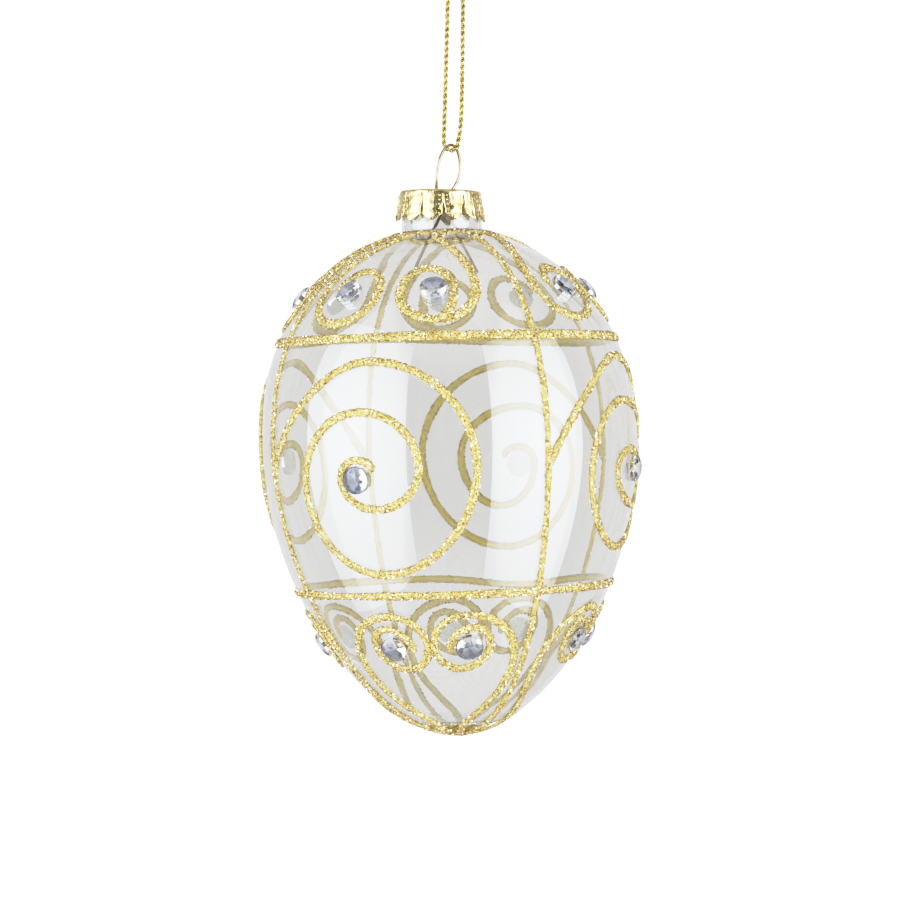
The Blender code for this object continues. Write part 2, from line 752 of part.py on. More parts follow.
def build_tracery(middle, glitter):
    """All the glitter lines, which cross and touch, as one piece."""
    lines = [line_on_glass("neck_collar", collar_trail(), COLLAR_WIDTH, COLLAR_TURN_DEG, True)]
    lower_band = band_trail(-LOWER_BAND_DEPTH, LOWER_BAND_WAVE, LOWER_BAND_BUMP)
    lines.append(line_on_glass("lower_band", lower_band, LINE_WIDTH, closed=True))
    for meridian, coil in zip(MERIDIAN_DEG, COILS):
        lines.append(line_on_glass("meridian", meridian_trail(meridian), MERIDIAN_WIDTH))
        lines.append(line_on_glass("coil", coil_trail(meridian, *coil), LINE_WIDTH))
    for pair in UPPER_PAIR_DEG:
        for hand in (1.0, -1.0):
            stone_deg = pair - hand * UPPER_PAIR_SPREAD_DEG
            lines.append(line_on_glass("upper_curl", upper_curl_trail(stone_deg, hand), UPPER_LINE_WIDTH))
    for pair in LOWER_PAIR_DEG:
        for hand in (1.0, -1.0):
            stone_deg = pair - hand * LOWER_PAIR_SPREAD_DEG
            lines.append(line_on_glass("lower_curl", lower_curl_trail(stone_deg, pair, hand), LINE_WIDTH))
    lines.append(tip_bead("tip_bead"))

    upper_band = band_trail(UPPER_BAND_HEIGHT, UPPER_BAND_WAVE, UPPER_BAND_BUMP)
    mesh = line_on_glass("glitter_tracery", upper_band, UPPER_LINE_WIDTH, closed=True)
    tracery = add_object("glitter_tracery", mesh, middle, glitter)
    for i, line in enumerate(lines):
        part = add_object(f"line_{i + 1}", line, middle, glitter)
        part.hide_render = True
        part.display_type = "WIRE"
        join = tracery.modifiers.new(f"line_{i + 1}", "BOOLEAN")
        join.operation = "UNION"
        join.object = part


def build_stones(middle, crystal):
    """The stones, each with its flat back just off the glass."""
    rows = {
        "coil_stone": [(coil[3], coil[4]) for coil in COILS],
        "upper_stone": [
            (pair - hand * UPPER_PAIR_SPREAD_DEG, UPPER_STONE_HEIGHT)
            for pair in UPPER_PAIR_DEG
            for hand in (1.0, -1.0)
        ],
        "lower_stone": [
            (pair - hand * LOWER_PAIR_SPREAD_DEG, -LOWER_STONE_DEPTH)
            for pair in LOWER_PAIR_DEG
            for hand in (1.0, -1.0)
        ],
    }
    mesh = stone_mesh()
    mesh.materials.append(crystal)
    for name, places in rows.items():
        for i, (degrees, height) in enumerate(places):
            spot, normal = on_glass(degrees, run_at(height), CLEARANCE)
            stone = bpy.data.objects.new(f"{name}_{i + 1}", mesh)
            stone.parent = middle
            stone.location = spot
            stone.rotation_euler = normal.to_track_quat("Z", "Y").to_euler()
            bpy.context.scene.collection.objects.link(stone)


def build_knot(thread):
    """The knot over the hanging point, with the cord's two cut ends."""
    outline = []
    steps = 6
    for i in range(steps + 1):
        angle = math.pi * i / steps - math.pi / 2
        radius = KNOT_RADIUS * math.cos(angle) if 0 < i < steps else 0.0
        outline.append((radius, KNOT_HEIGHT / 2 * math.sin(angle)))
    knot = add_object("cord_knot", turned("cord_knot", outline, 10), None, thread)
    strand_end = CORD_ROUTE[0][2] * MM
    knot.location = (0.0, 0.0, strand_end + CLEARANCE + KNOT_HEIGHT / 2)
    for side in (-1.0, 1.0):
        start = Vector((side * CORD_DIAMETER / 2, 0.0, 0.0))
        end = Vector((side * KNOT_TAIL_LEAN, side * CORD_DIAMETER / 4, KNOT_HEIGHT / 2 + KNOT_TAIL))
        rows = [start, start.lerp(end, 0.6) - Vector((side * CORD_DIAMETER / 4, 0.0, 0.0)), end]
        ups = [Vector((0.0, 1.0, 0.0))] * len(rows)
        tail = six_sided("cord_end", rows, ups, CORD_DIAMETER / 2)
        part = add_object(f"cord_end_{'left' if side < 0 else 'right'}", tail, None, thread)
        part.location = knot.location
        part.hide_render = True
        part.display_type = "WIRE"
        join = knot.modifiers.new("cord_end", "BOOLEAN")
        join.operation = "UNION"
        join.object = part


def six_sided(name, line, ups, radius):
    """A short rod of six sides along a line."""
    points = []
    for spot, (side, up) in zip(line, ring_frames(line, ups, False)):
        for k in range(6):
            angle = math.pi * k / 3
            points.append(spot + side * radius * math.cos(angle) + up * radius * math.sin(angle))
    faces = [tuple(range(6)), tuple(range(len(points) - 6, len(points)))]
    for i in range(len(line) - 1):
        for k in range(6):
            other = (k + 1) % 6
            faces.append((6 * i + k, 6 * i + 6 + k, 6 * i + 6 + other, 6 * i + other))
    return closed_mesh(name, points, faces)


build()
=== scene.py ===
# %% [markdown]
# # A clear glass egg on a gold cord
# The object is a hollow egg of thin blown glass. It hangs point down from a doubled metallic cord, which
# runs through a wire ring in a petalled gold cap. Lines of gold glitter curl over the glass, with faceted
# stones glued among them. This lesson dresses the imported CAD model: every visible piece is built here in
# finer detail, in the place of its CAD solid, and gets a material of its own.

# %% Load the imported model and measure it
import math

import bpy
import numpy as np
from mathutils import Matrix, Vector


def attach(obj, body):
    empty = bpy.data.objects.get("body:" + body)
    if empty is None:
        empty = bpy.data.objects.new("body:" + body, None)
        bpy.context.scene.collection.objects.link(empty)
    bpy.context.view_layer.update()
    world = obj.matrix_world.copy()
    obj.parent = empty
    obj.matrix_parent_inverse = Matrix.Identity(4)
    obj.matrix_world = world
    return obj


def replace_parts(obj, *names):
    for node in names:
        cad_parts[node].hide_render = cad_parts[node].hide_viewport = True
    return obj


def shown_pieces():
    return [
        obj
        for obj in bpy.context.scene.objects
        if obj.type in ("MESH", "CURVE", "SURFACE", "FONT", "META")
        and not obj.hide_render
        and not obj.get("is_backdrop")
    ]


MM = 0.001
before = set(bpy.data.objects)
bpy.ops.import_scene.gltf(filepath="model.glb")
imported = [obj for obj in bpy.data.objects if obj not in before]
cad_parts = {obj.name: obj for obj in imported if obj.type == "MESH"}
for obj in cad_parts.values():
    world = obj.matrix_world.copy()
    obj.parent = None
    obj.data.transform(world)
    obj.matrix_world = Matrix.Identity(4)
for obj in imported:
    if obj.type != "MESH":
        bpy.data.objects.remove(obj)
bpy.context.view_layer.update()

# %% [markdown]
# ## The camera
# The photograph was taken level with the egg, from about 0.8 m. A long lens keeps its lines straight. The
# colours are shown with the Standard view and a tone curve. The curve leaves dark and middle tones alone
# and bends the bright ones gently into white, as a camera does: twice the brightness of white paper is
# pure white, and a reflection on glass stays paler than that.

# %% Camera at the photograph's viewing angle
PHOTO_SIDE = 900
PHOTO_SHIFT = 25
LENS_MM = 137.2
CAMERA_SPOT = (-1.3 * MM, -812 * MM, -106.6 * MM)
WHITE_LEVEL = 2.0
TONE_CURVE = ((0.2, 0.2), (0.4, 0.4), (0.6, 0.59), (0.78, 0.735), (1.0, 0.83), (1.3, 0.905), (1.6, 0.955))
scene = bpy.context.scene
scene.view_settings.view_transform = "Standard"
scene.view_settings.use_curve_mapping = True
curve = scene.view_settings.curve_mapping
curve.white_level = (WHITE_LEVEL, WHITE_LEVEL, WHITE_LEVEL)
for shown_at, shown in TONE_CURVE:
    curve.curves[3].points.new(shown_at / WHITE_LEVEL, shown)
curve.update()
camera_data = bpy.data.cameras.new("camera")
camera_data.lens = LENS_MM
camera_data.sensor_width = 36.0
camera_data.shift_y = -PHOTO_SHIFT / PHOTO_SIDE
camera = bpy.data.objects.new("camera", camera_data)
camera.location = CAMERA_SPOT
camera.rotation_euler = (math.radians(90), 0.0, 0.0)
scene.collection.objects.link(camera)
scene.camera = camera
print("camera at", [round(x, 4) for x in camera.location])

# %% [markdown]
# ## Lines, tubes and meshes
# Many pieces here follow a line: the cord, its knot, the wire and the glitter. Three small helpers do the
# common work: a smooth curve through a few chosen points, points at even steps along it, and a round tube.


# %% Helpers for lines and tubes
def smooth_route(route, steps=16):
    """Points of a smooth curve through the route's own points."""
    spots = np.array(route, float)
    ends = np.vstack([spots[0] * 2 - spots[1], spots, spots[-1] * 2 - spots[-2]])
    share = np.linspace(0, 1, steps, endpoint=False)[:, None]
    line = []
    for before, here, there, after in zip(ends, ends[1:], ends[2:], ends[3:]):
        line.append(
            here * (2 * share**3 - 3 * share**2 + 1)
            + (there - before) / 2 * (share**3 - 2 * share**2 + share)
            + there * (3 * share**2 - 2 * share**3)
            + (after - here) / 2 * (share**3 - share**2)
        )
    return np.vstack([*line, spots[-1:]])


def even_steps(line, step):
    """The same line with points at equal distances, and how far along each one is."""
    lengths = np.linalg.norm(np.diff(line, axis=0), axis=1)
    along = np.concatenate([[0.0], np.cumsum(lengths)])
    count = max(3, round(along[-1] / step))
    at = np.linspace(0, along[-1], count + 1)
    return np.stack([np.interp(at, along, line[:, k]) for k in range(line.shape[1])], 1), at


def frames_along(line):
    """Two directions across a line at each point, carried along it without twisting."""
    ahead = np.gradient(line, axis=0)
    ahead /= np.linalg.norm(ahead, axis=1)[:, None]
    first = np.cross(ahead[0], (0.0, 1.0, 0.0))
    first = first if np.linalg.norm(first) > 0.1 else np.cross(ahead[0], (1.0, 0.0, 0.0))
    sides = [first / np.linalg.norm(first)]
    for direction in ahead[1:]:
        side = sides[-1] - direction * np.dot(sides[-1], direction)
        sides.append(side / np.linalg.norm(side))
    sides = np.array(sides)
    return sides, np.cross(ahead, sides)


def tube_parts(line, radius, sides):
    """Points, faces and (around, along) coordinates of a closed round tube. The radius may vary."""
    across, up = frames_along(line)
    radius = np.broadcast_to(radius, len(line))[:, None, None]
    angle = np.linspace(0, 2 * np.pi, sides, endpoint=False)
    spokes = across[:, None] * np.cos(angle)[None, :, None] + up[:, None] * np.sin(angle)[None, :, None]
    points = (line[:, None] + spokes * radius).reshape(-1, 3)
    faces = [tuple(range(sides))[::-1], tuple(range(len(points) - sides, len(points)))]
    for i in range(len(line) - 1):
        for k in range(sides):
            other = (k + 1) % sides
            faces.append((i * sides + k, i * sides + other, (i + 1) * sides + other, (i + 1) * sides + k))
    return points, faces


def joined(parts):
    """Several (points, faces) made one."""
    points = np.vstack([part[0] for part in parts])
    faces = []
    start = 0
    for some_points, some_faces in parts:
        faces.extend(tuple(int(i) + start for i in face) for face in some_faces)
        start += len(some_points)
    return points, faces


def add_piece(name, points, faces, material=None, smooth=True):
    """A mesh object at the origin, with its place in its points."""
    mesh = bpy.data.meshes.new(name)
    mesh.from_pydata(np.asarray(points).tolist(), [], faces)
    mesh.polygons.foreach_set("use_smooth", [smooth] * len(mesh.polygons))
    if material:
        mesh.materials.append(material)
    piece = bpy.data.objects.new(name, mesh)
    scene.collection.objects.link(piece)
    print(f"{name}: {len(mesh.polygons)} faces")
    return piece


# %% [markdown]
# ## The cord and its knot
# The cord is a fine two-ply twist of metallic thread, 1.2 mm thick, doubled through the ring and knotted.
# It is taut, so its route is two nearly straight runs with a tight bend under the ring. Each ply is a thin
# tube that winds round the route. Winding real geometry was chosen over a bump pattern, because the twist
# makes the cord's outline beaded, and that shows against the white.

# %% Cord: route and plies
CORD_DIAMETER = 1.2 * MM
PLY_RADIUS = 0.31 * MM
PLY_LEAD = 3.15 * MM
PLY_STEPS = 24
PLY_SIDES = 10
PLY_TURN_MM = 4
CORD_ROUTE = (
    (-0.85, 0.0, 1.1),
    (-0.95, 0.0, -1.0),
    (-1.55, 0.0, -3.6),
    (-1.84, 0.0, -7.0),
    (-2.25, 0.0, -22.0),
    (-2.68, 0.0, -36.0),
    (-2.78, 0.0, -39.4),
    (-2.42, 0.0, -40.9),
    (-1.00, 0.0, -41.6),
    (0.30, 0.0, -40.9),
    (0.62, 0.0, -39.4),
    (1.18, 0.0, -36.0),
    (1.52, 0.0, -28.0),
    (1.75, 0.0, -7.0),
    (1.50, 0.0, -3.6),
    (0.95, 0.0, -1.0),
    (0.85, 0.0, 1.1),
)


def twisted_plies(line, plies=2, turn=0.0):
    """Points and faces of a cord's plies, wound round a line."""
    fine, along = even_steps(line, PLY_LEAD / PLY_STEPS)
    across, up = frames_along(fine)
    reach = CORD_DIAMETER / 2 - PLY_RADIUS
    parts = []
    for k in range(plies):
        angle = (2 * np.pi * (along / PLY_LEAD + k / plies) + turn)[:, None]
        centre = fine + (across * np.cos(angle) + up * np.sin(angle)) * reach
        parts.append(tube_parts(centre, PLY_RADIUS, PLY_SIDES))
    return joined(parts)


def thread_coordinates(piece):
    """A UV map in millimetres: round each ply, and along it."""
    layer = piece.data.uv_layers.new(name="thread")
    spots = np.zeros(len(piece.data.loops), int)
    piece.data.loops.foreach_get("vertex_index", spots)
    around = (spots % PLY_SIDES) / PLY_SIDES
    ring = spots // PLY_SIDES
    starts = np.array([p.loop_start for p in piece.data.polygons])
    totals = np.array([p.loop_total for p in piece.data.polygons])
    for start, total in zip(starts, totals):
        if total == 4 and around[start : start + 4].max() - around[start : start + 4].min() > 0.5:
            wrapped = around[start : start + 4]
            wrapped[wrapped < 0.5] += 1.0
    along = ring / PLY_STEPS * PLY_TURN_MM
    layer.data.foreach_set("uv", np.stack([around, along], 1).astype(np.float32).ravel())


cord_line = smooth_route(np.array(CORD_ROUTE) * MM)
cord = add_piece("cord", *twisted_plies(cord_line))
thread_coordinates(cord)

# %% [markdown]
# The knot closes the loop just over the hanging point, with the two cut ends standing up. Pulled tight, an
# overhand knot is a small three-lobed ball of cord, so its line is a trefoil: the same twist, on a curve
# that is given by a formula. The ends are short runs of cord that open a little where they are cut.

# %% Knot and cut ends
KNOT_MIDDLE = Vector((0.0, 0.0, 3.0 * MM))
KNOT_SCALE = 0.46 * MM
CUT_END = np.array([(0.45, 0.1, 3.6), (0.6, 0.25, 5.2), (1.1, 0.35, 7.4), (1.55, 0.3, 9.4)]) * MM
INTO_KNOT = np.array([(0.85, 0.0, 0.9), (0.8, 0.0, 1.6), (0.5, 0.1, 2.4)]) * MM
turn = np.linspace(0, 2 * np.pi, 97)
trefoil = np.stack(
    [np.sin(turn) + 2 * np.sin(2 * turn), -1.1 * np.sin(3 * turn), np.cos(turn) - 2 * np.cos(2 * turn)], 1
)
knot_parts = [twisted_plies(trefoil * KNOT_SCALE + np.array(KNOT_MIDDLE), turn=0.4)]
for side in (-1.0, 1.0):
    for run in (CUT_END, INTO_KNOT):
        knot_parts.append(twisted_plies(smooth_route(run * (side, side, 1.0)), turn=side))
knot = add_piece("knot", *joined(knot_parts))
thread_coordinates(knot)

# %% [markdown]
# ## Short ways to write node trees
# Lights, materials and scatters are all trees of nodes. A few helpers make the commonest nodes and link
# them, so that each tree below reads as a list of its nodes and a table of its links.


# %% Helpers for node trees
def link_all(tree, *rows):
    """Links nodes, a row each: node, its output, next node, its input. Sockets go by name or number."""
    for start, output, end, socket in rows:
        tree.links.new(start.outputs[output], end.inputs[socket])


def math_node(tree, operation, first=None, second=None, third=None):
    """A node that does one sum. Numbers that stay the same are given here, and the others are linked."""
    node = tree.nodes.new("ShaderNodeMath")
    node.operation = operation
    for socket, value in zip(node.inputs, (first, second, third)):
        if value is not None:
            socket.default_value = value
    return node


def range_node(tree, given, to_low=0.0, to_high=1.0):
    """A node that maps the given (low, high) range to another one, and stays at its ends beyond them."""
    node = tree.nodes.new("ShaderNodeMapRange")
    for label, value in zip(("From Min", "From Max", "To Min", "To Max"), (*given, to_low, to_high)):
        node.inputs[label].default_value = value
    return node


def mix_node(tree, at_none, at_full):
    """A node that goes from one number to another as its factor goes from 0 to 1."""
    node = tree.nodes.new("ShaderNodeMix")
    node.data_type = "FLOAT"
    node.inputs[2].default_value = at_none
    node.inputs[3].default_value = at_full
    return node


# %% [markdown]
# ## Stage and light
# A catalogue photograph of glass has a white surround and tall softboxes on both sides of the camera. Their
# reflections are the two pale panels that show the egg's roundness. The world is white where it is seen
# directly or through the glass, and greyer where it is only reflected: darkest towards the camera, and
# lighter behind the object, above and below, as in a studio. A ray that has been inside a stone and met
# its foil can't see the softboxes, so for it the world is bright in front on both sides instead. The floor
# is a plain pale disc, bright enough to melt into the white, and reflections leave it out.

# %% Floor and softboxes
FLOOR_SIDES = 96
FLOOR_RADIUS = 4.0
FLOOR_HEIGHT = -1.25
SEEN_WHITE = 2.1
BEHIND_GLASS = 1.02
EGG_CENTRE = Vector((-1.3, 0.0, -112.0)) * MM
SOFTBOX_DISTANCE = 1.1
SOFTBOX_SPREAD_DEG = 112.0
SOFTBOX_TINT = (0.84, 0.92, 1.0)
turn = np.linspace(0, 2 * np.pi, FLOOR_SIDES, endpoint=False)
floor_points = [FLOOR_RADIUS * np.cos(turn), FLOOR_RADIUS * np.sin(turn), np.full(FLOOR_SIDES, FLOOR_HEIGHT)]
floor = add_piece("floor", np.stack(floor_points, 1), [tuple(range(FLOOR_SIDES))], smooth=False)
floor.visible_glossy = False
floor.visible_transmission = False
floor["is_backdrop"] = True


def white_light(tree, glow):
    """Sets how white something looks: full white to the camera, and paper white to any other ray."""
    rays = tree.nodes.new("ShaderNodeLightPath")
    level = mix_node(tree, BEHIND_GLASS, SEEN_WHITE)
    link_all(tree, (rays, "Is Camera Ray", level, 0), (level, 0, glow, "Strength"))
    return rays, level


floor_finish = bpy.data.materials.new("floor_paint")
floor_finish.use_nodes = True
tree = floor_finish.node_tree
tree.nodes.remove(tree.nodes["Principled BSDF"])
glow = tree.nodes.new("ShaderNodeEmission")
white_light(tree, glow)
link_all(tree, (glow, 0, tree.nodes["Material Output"], "Surface"))
floor.data.materials.append(floor_finish)


def add_softbox(name, side_deg, width, height, power):
    """A tall area light that faces the egg, side_deg round it from the camera."""
    light = bpy.data.lights.new(name, "AREA")
    light.shape = "RECTANGLE"
    light.size = width
    light.size_y = height
    light.spread = math.radians(SOFTBOX_SPREAD_DEG)
    light.energy = power
    light.color = SOFTBOX_TINT
    lamp = bpy.data.objects.new(name, light)
    angle = math.radians(side_deg)
    direction = Vector((math.sin(angle), -math.cos(angle), 0.0))
    lamp.location = EGG_CENTRE + direction * SOFTBOX_DISTANCE
    lamp.rotation_euler = direction.to_track_quat("Z", "Y").to_euler()
    lamp.visible_camera = False
    lamp.visible_transmission = False
    scene.collection.objects.link(lamp)
    print(name, "at", [round(x, 2) for x in lamp.location])


add_softbox("softbox_left", -60.0, 1.5, 2.3, 23.0)
add_softbox("softbox_right", 56.0, 1.3, 2.3, 20.5)

# %% The surround
STUDIO_DEPTH, STUDIO_FRONT, STUDIO_BACK = (-0.2, 0.9), 0.25, 0.95
STEEPNESS, STUDIO_STEEP = (0.2, 0.9), 0.75
SPARKLE_SIDES, STONE_SPARKLE = (0.40, 0.50), 2.0
SPARKLE_FRONT = -0.1
world = bpy.data.worlds.new("studio")
world.use_nodes = True
scene.world = world
tree = world.node_tree
tree.nodes.clear()
surround = tree.nodes.new("ShaderNodeBackground")
surround.inputs["Color"].default_value = (1.0, 1.0, 1.0, 1.0)
world_out = tree.nodes.new("ShaderNodeOutputWorld")
rays, level = white_light(tree, surround)
direction = tree.nodes.new("ShaderNodeTexCoord")
split = tree.nodes.new("ShaderNodeSeparateXYZ")
unreflected = math_node(tree, "LESS_THAN", second=0.5)
through = math_node(tree, "MULTIPLY")
studio = range_node(tree, STUDIO_DEPTH, STUDIO_FRONT, STUDIO_BACK)
steep = math_node(tree, "ABSOLUTE")
ceiling = range_node(tree, STEEPNESS, to_high=STUDIO_STEEP)
brightest = math_node(tree, "MAXIMUM")
sideways = math_node(tree, "ABSOLUTE")
sparkle = range_node(tree, SPARKLE_SIDES, to_high=STONE_SPARKLE)
two_surfaces = math_node(tree, "COMPARE", second=2.0, third=0.5)
in_front = math_node(tree, "LESS_THAN", second=SPARKLE_FRONT)
front_sides = math_node(tree, "MULTIPLY")
in_stone = math_node(tree, "MULTIPLY")
with_sparkle = math_node(tree, "MAXIMUM")
other = mix_node(tree, 0.0, BEHIND_GLASS)
link_all(
    tree,
    (rays, "Glossy Depth", unreflected, 0),
    (unreflected, 0, through, 0),
    (rays, "Is Transmission Ray", through, 1),
    (direction, "Generated", split, 0),
    (split, "Y", studio, "Value"),
    (split, "Z", steep, 0),
    (steep, 0, ceiling, "Value"),
    (studio, 0, brightest, 0),
    (ceiling, 0, brightest, 1),
    (split, "X", sideways, 0),
    (sideways, 0, sparkle, "Value"),
    (split, "Y", in_front, 0),
    (sparkle, 0, front_sides, 0),
    (in_front, 0, front_sides, 1),
    (rays, "Transmission Depth", two_surfaces, 0),
    (front_sides, 0, in_stone, 0),
    (two_surfaces, 0, in_stone, 1),
    (brightest, 0, with_sparkle, 0),
    (in_stone, 0, with_sparkle, 1),
    (through, 0, other, 0),
    (with_sparkle, 0, other, 2),
    (other, 0, level, 2),
    (surround, 0, world_out, "Surface"),
)
print("world nodes:", len(tree.nodes))

# %% [markdown]
# ## Materials
# Two effects are shared by several finishes, so each is a node group that is built once. *Mottle* blends
# two colours in soft patches, as metal does where it is handled or was plated unevenly. *Fine relief* turns
# a noise into a small bump. Both work in object space, in millimetres, so that a pattern has its true size.


# %% Shared shader groups
def new_group(name, inputs, outputs):
    """A shader group with named sockets: {name: (type, value)} in, {name: type} out."""
    group = bpy.data.node_groups.new(name, "ShaderNodeTree")
    for label, (kind, value) in inputs.items():
        socket = group.interface.new_socket(label, in_out="INPUT", socket_type=kind)
        if value is not None:
            socket.default_value = value
    for label, kind in outputs.items():
        group.interface.new_socket(label, in_out="OUTPUT", socket_type=kind)
    return group, group.nodes.new("NodeGroupInput"), group.nodes.new("NodeGroupOutput")


def in_millimetres(tree):
    """A node that gives a place in millimetres instead of metres."""
    to_mm = tree.nodes.new("ShaderNodeVectorMath")
    to_mm.operation = "SCALE"
    to_mm.inputs["Scale"].default_value = 1000.0
    return to_mm


mottle, group_in, group_out = new_group(
    "Mottle",
    {
        "Vector": ("NodeSocketVector", None),
        "Patch per mm": ("NodeSocketFloat", 0.5),
        "Light": ("NodeSocketColor", (1.0, 1.0, 1.0, 1.0)),
        "Dark": ("NodeSocketColor", (0.5, 0.5, 0.5, 1.0)),
    },
    {"Color": "NodeSocketColor"},
)
to_mm = in_millimetres(mottle)
patches = mottle.nodes.new("ShaderNodeTexNoise")
patches.inputs["Detail"].default_value = 4.0
patches.inputs["Roughness"].default_value = 0.6
spread = range_node(mottle, (0.35, 0.65))
blend = mottle.nodes.new("ShaderNodeMix")
blend.data_type = "RGBA"
link_all(
    mottle,
    (group_in, "Vector", to_mm, 0),
    (to_mm, 0, patches, "Vector"),
    (group_in, "Patch per mm", patches, "Scale"),
    (patches, 0, spread, "Value"),
    (spread, 0, blend, 0),
    (group_in, "Dark", blend, 6),
    (group_in, "Light", blend, 7),
    (blend, 2, group_out, "Color"),
)

relief, group_in, group_out = new_group(
    "Fine relief",
    {
        "Vector": ("NodeSocketVector", None),
        "Bumps per mm": ("NodeSocketFloat", 2.0),
        "Depth": ("NodeSocketFloat", 0.00002),
        "Strength": ("NodeSocketFloat", 0.5),
    },
    {"Normal": "NodeSocketVector"},
)
to_mm = in_millimetres(relief)
grain = relief.nodes.new("ShaderNodeTexNoise")
grain.inputs["Detail"].default_value = 3.0
bump = relief.nodes.new("ShaderNodeBump")
link_all(
    relief,
    (group_in, "Vector", to_mm, 0),
    (to_mm, 0, grain, "Vector"),
    (group_in, "Bumps per mm", grain, "Scale"),
    (grain, 0, bump, "Height"),
    (group_in, "Depth", bump, "Distance"),
    (group_in, "Strength", bump, "Strength"),
    (bump, "Normal", group_out, "Normal"),
)
print("groups:", [group.name for group in bpy.data.node_groups])


# %% Helpers for materials
def new_finish(name, roughness, metallic=0.0, transmission=0.0, ior=1.5):
    """A Principled material with its plain values on its own sockets, and its (tree, shader, coordinates)."""
    finish = bpy.data.materials.new(name)
    finish.use_nodes = True
    tree = finish.node_tree
    shader = tree.nodes["Principled BSDF"]
    shader.inputs["Roughness"].default_value = roughness
    shader.inputs["Metallic"].default_value = metallic
    shader.inputs["Transmission Weight"].default_value = transmission
    shader.inputs["IOR"].default_value = ior
    return finish, (tree, shader, tree.nodes.new("ShaderNodeTexCoord"))


def use_group(parts, group, **values):
    """A copy of a shared group in a material, on object coordinates. Underscores stand for spaces."""
    tree, _, spot = parts
    node = tree.nodes.new("ShaderNodeGroup")
    node.node_tree = group
    for label, value in values.items():
        node.inputs[label.replace("_", " ")].default_value = value
    link_all(tree, (spot, "Object", node, "Vector"))
    return node


def mottled(parts, patch_per_mm, light, dark):
    """Blends a light and a dark colour in soft patches over a material."""
    tree, shader, _ = parts
    patchy = use_group(parts, mottle, Patch_per_mm=patch_per_mm, Light=(*light, 1.0), Dark=(*dark, 1.0))
    link_all(tree, (patchy, "Color", shader, "Base Color"))


def roughened(parts, bumps_per_mm, depth, strength, upright=1.0):
    """Gives a material a fine relief. Its bumps are drawn out along the height where upright is below 1."""
    tree, shader, spot = parts
    fine = use_group(parts, relief, Bumps_per_mm=bumps_per_mm, Depth=depth, Strength=strength)
    link_all(tree, (fine, "Normal", shader, "Normal"))
    if upright < 1.0:
        stretch = tree.nodes.new("ShaderNodeMapping")
        stretch.inputs["Scale"].default_value = (1.0, 1.0, upright)
        link_all(tree, (spot, "Object", stretch, "Vector"), (stretch, 0, fine, "Vector"))


def let_lamps_through(parts, tint):
    """For shadow rays, a transparent shader stands in for the glass."""
    tree, shader, _ = parts
    rays = tree.nodes.new("ShaderNodeLightPath")
    clear = tree.nodes.new("ShaderNodeBsdfTransparent")
    clear.inputs["Color"].default_value = tint
    swap = tree.nodes.new("ShaderNodeMixShader")
    link_all(
        tree,
        (rays, "Is Shadow Ray", swap, 0),
        (shader, 0, swap, 1),
        (clear, 0, swap, 2),
        (swap, 0, tree.nodes["Material Output"], "Surface"),
    )


def colour_ramp(tree, *stops):
    """A ramp of colours through (position, colour) stops, of which the first is at 0 and the last at 1."""
    ramp = tree.nodes.new("ShaderNodeValToRGB")
    elements = ramp.color_ramp.elements
    elements[0].color = (*stops[0][1], 1.0)
    elements[1].color = (*stops[-1][1], 1.0)
    for position, colour in stops[1:-1]:
        elements.new(position).color = (*colour, 1.0)
    return ramp


# %% [markdown]
# **Clear glass** is plain values on the shader: full transmission, no roughness and a very light grey tint,
# because two walls of it look a little grey against white. It reflects more than window glass does, so
# that modest lamps show in it as clear white veils and still don't burn out the gold. Blown glass isn't
# perfectly even, so a slow ripple bends its reflections. For rays from lamps the glass is swapped for a
# transparent shader, so that light reaches the back of the glitter lines: tracing it through two walls
# would leave them noisy.

# %% Clear glass
glass_finish, parts = new_finish("clear_glass_finish", 0.0, transmission=1.0, ior=1.45)
shader = parts[1]
shader.inputs["Base Color"].default_value = (0.962, 0.962, 0.957, 1.0)
shader.inputs["Coat Weight"].default_value = 1.0
shader.inputs["Coat IOR"].default_value = 1.8
roughened(parts, 0.12, 0.00006, 0.4, upright=0.25)
let_lamps_through(parts, (0.93, 0.93, 0.93, 1.0))
print("made", glass_finish.name)

# %% [markdown]
# **Gold glitter** is thousands of tiny metal chips. Each chip carries a number of its own, its *grain
# tone*, that the Geometry Nodes tree below gives it. A colour ramp turns the number into a shade between
# olive, gold and pale champagne, so that neighbouring chips differ as real ones do.

# %% Gold glitter
glitter_finish, parts = new_finish("gold_glitter_finish", 0.15, metallic=0.9)
tree, shader, spot = parts
tone = tree.nodes.new("ShaderNodeAttribute")
tone.attribute_name = "grain_tone"
shades = colour_ramp(
    tree,
    (0.0, (0.12, 0.07, 0.02)),
    (0.3, (0.28, 0.18, 0.06)),
    (0.7, (0.50, 0.33, 0.13)),
    (1.0, (0.98, 0.90, 0.70)),
)
link_all(tree, (tone, "Fac", shades, 0), (shades, 0, shader, "Base Color"))
roughened(parts, 3.0, 0.0001, 0.6)

# %% [markdown]
# **Glitter glue** is the bed that the chips sit in, duller than they are. A cell pattern stands for the
# chips that lie flat in it. The underside, which lies on the glass and is what shows of a line from behind,
# has a finish of its own, a soft olive gold.

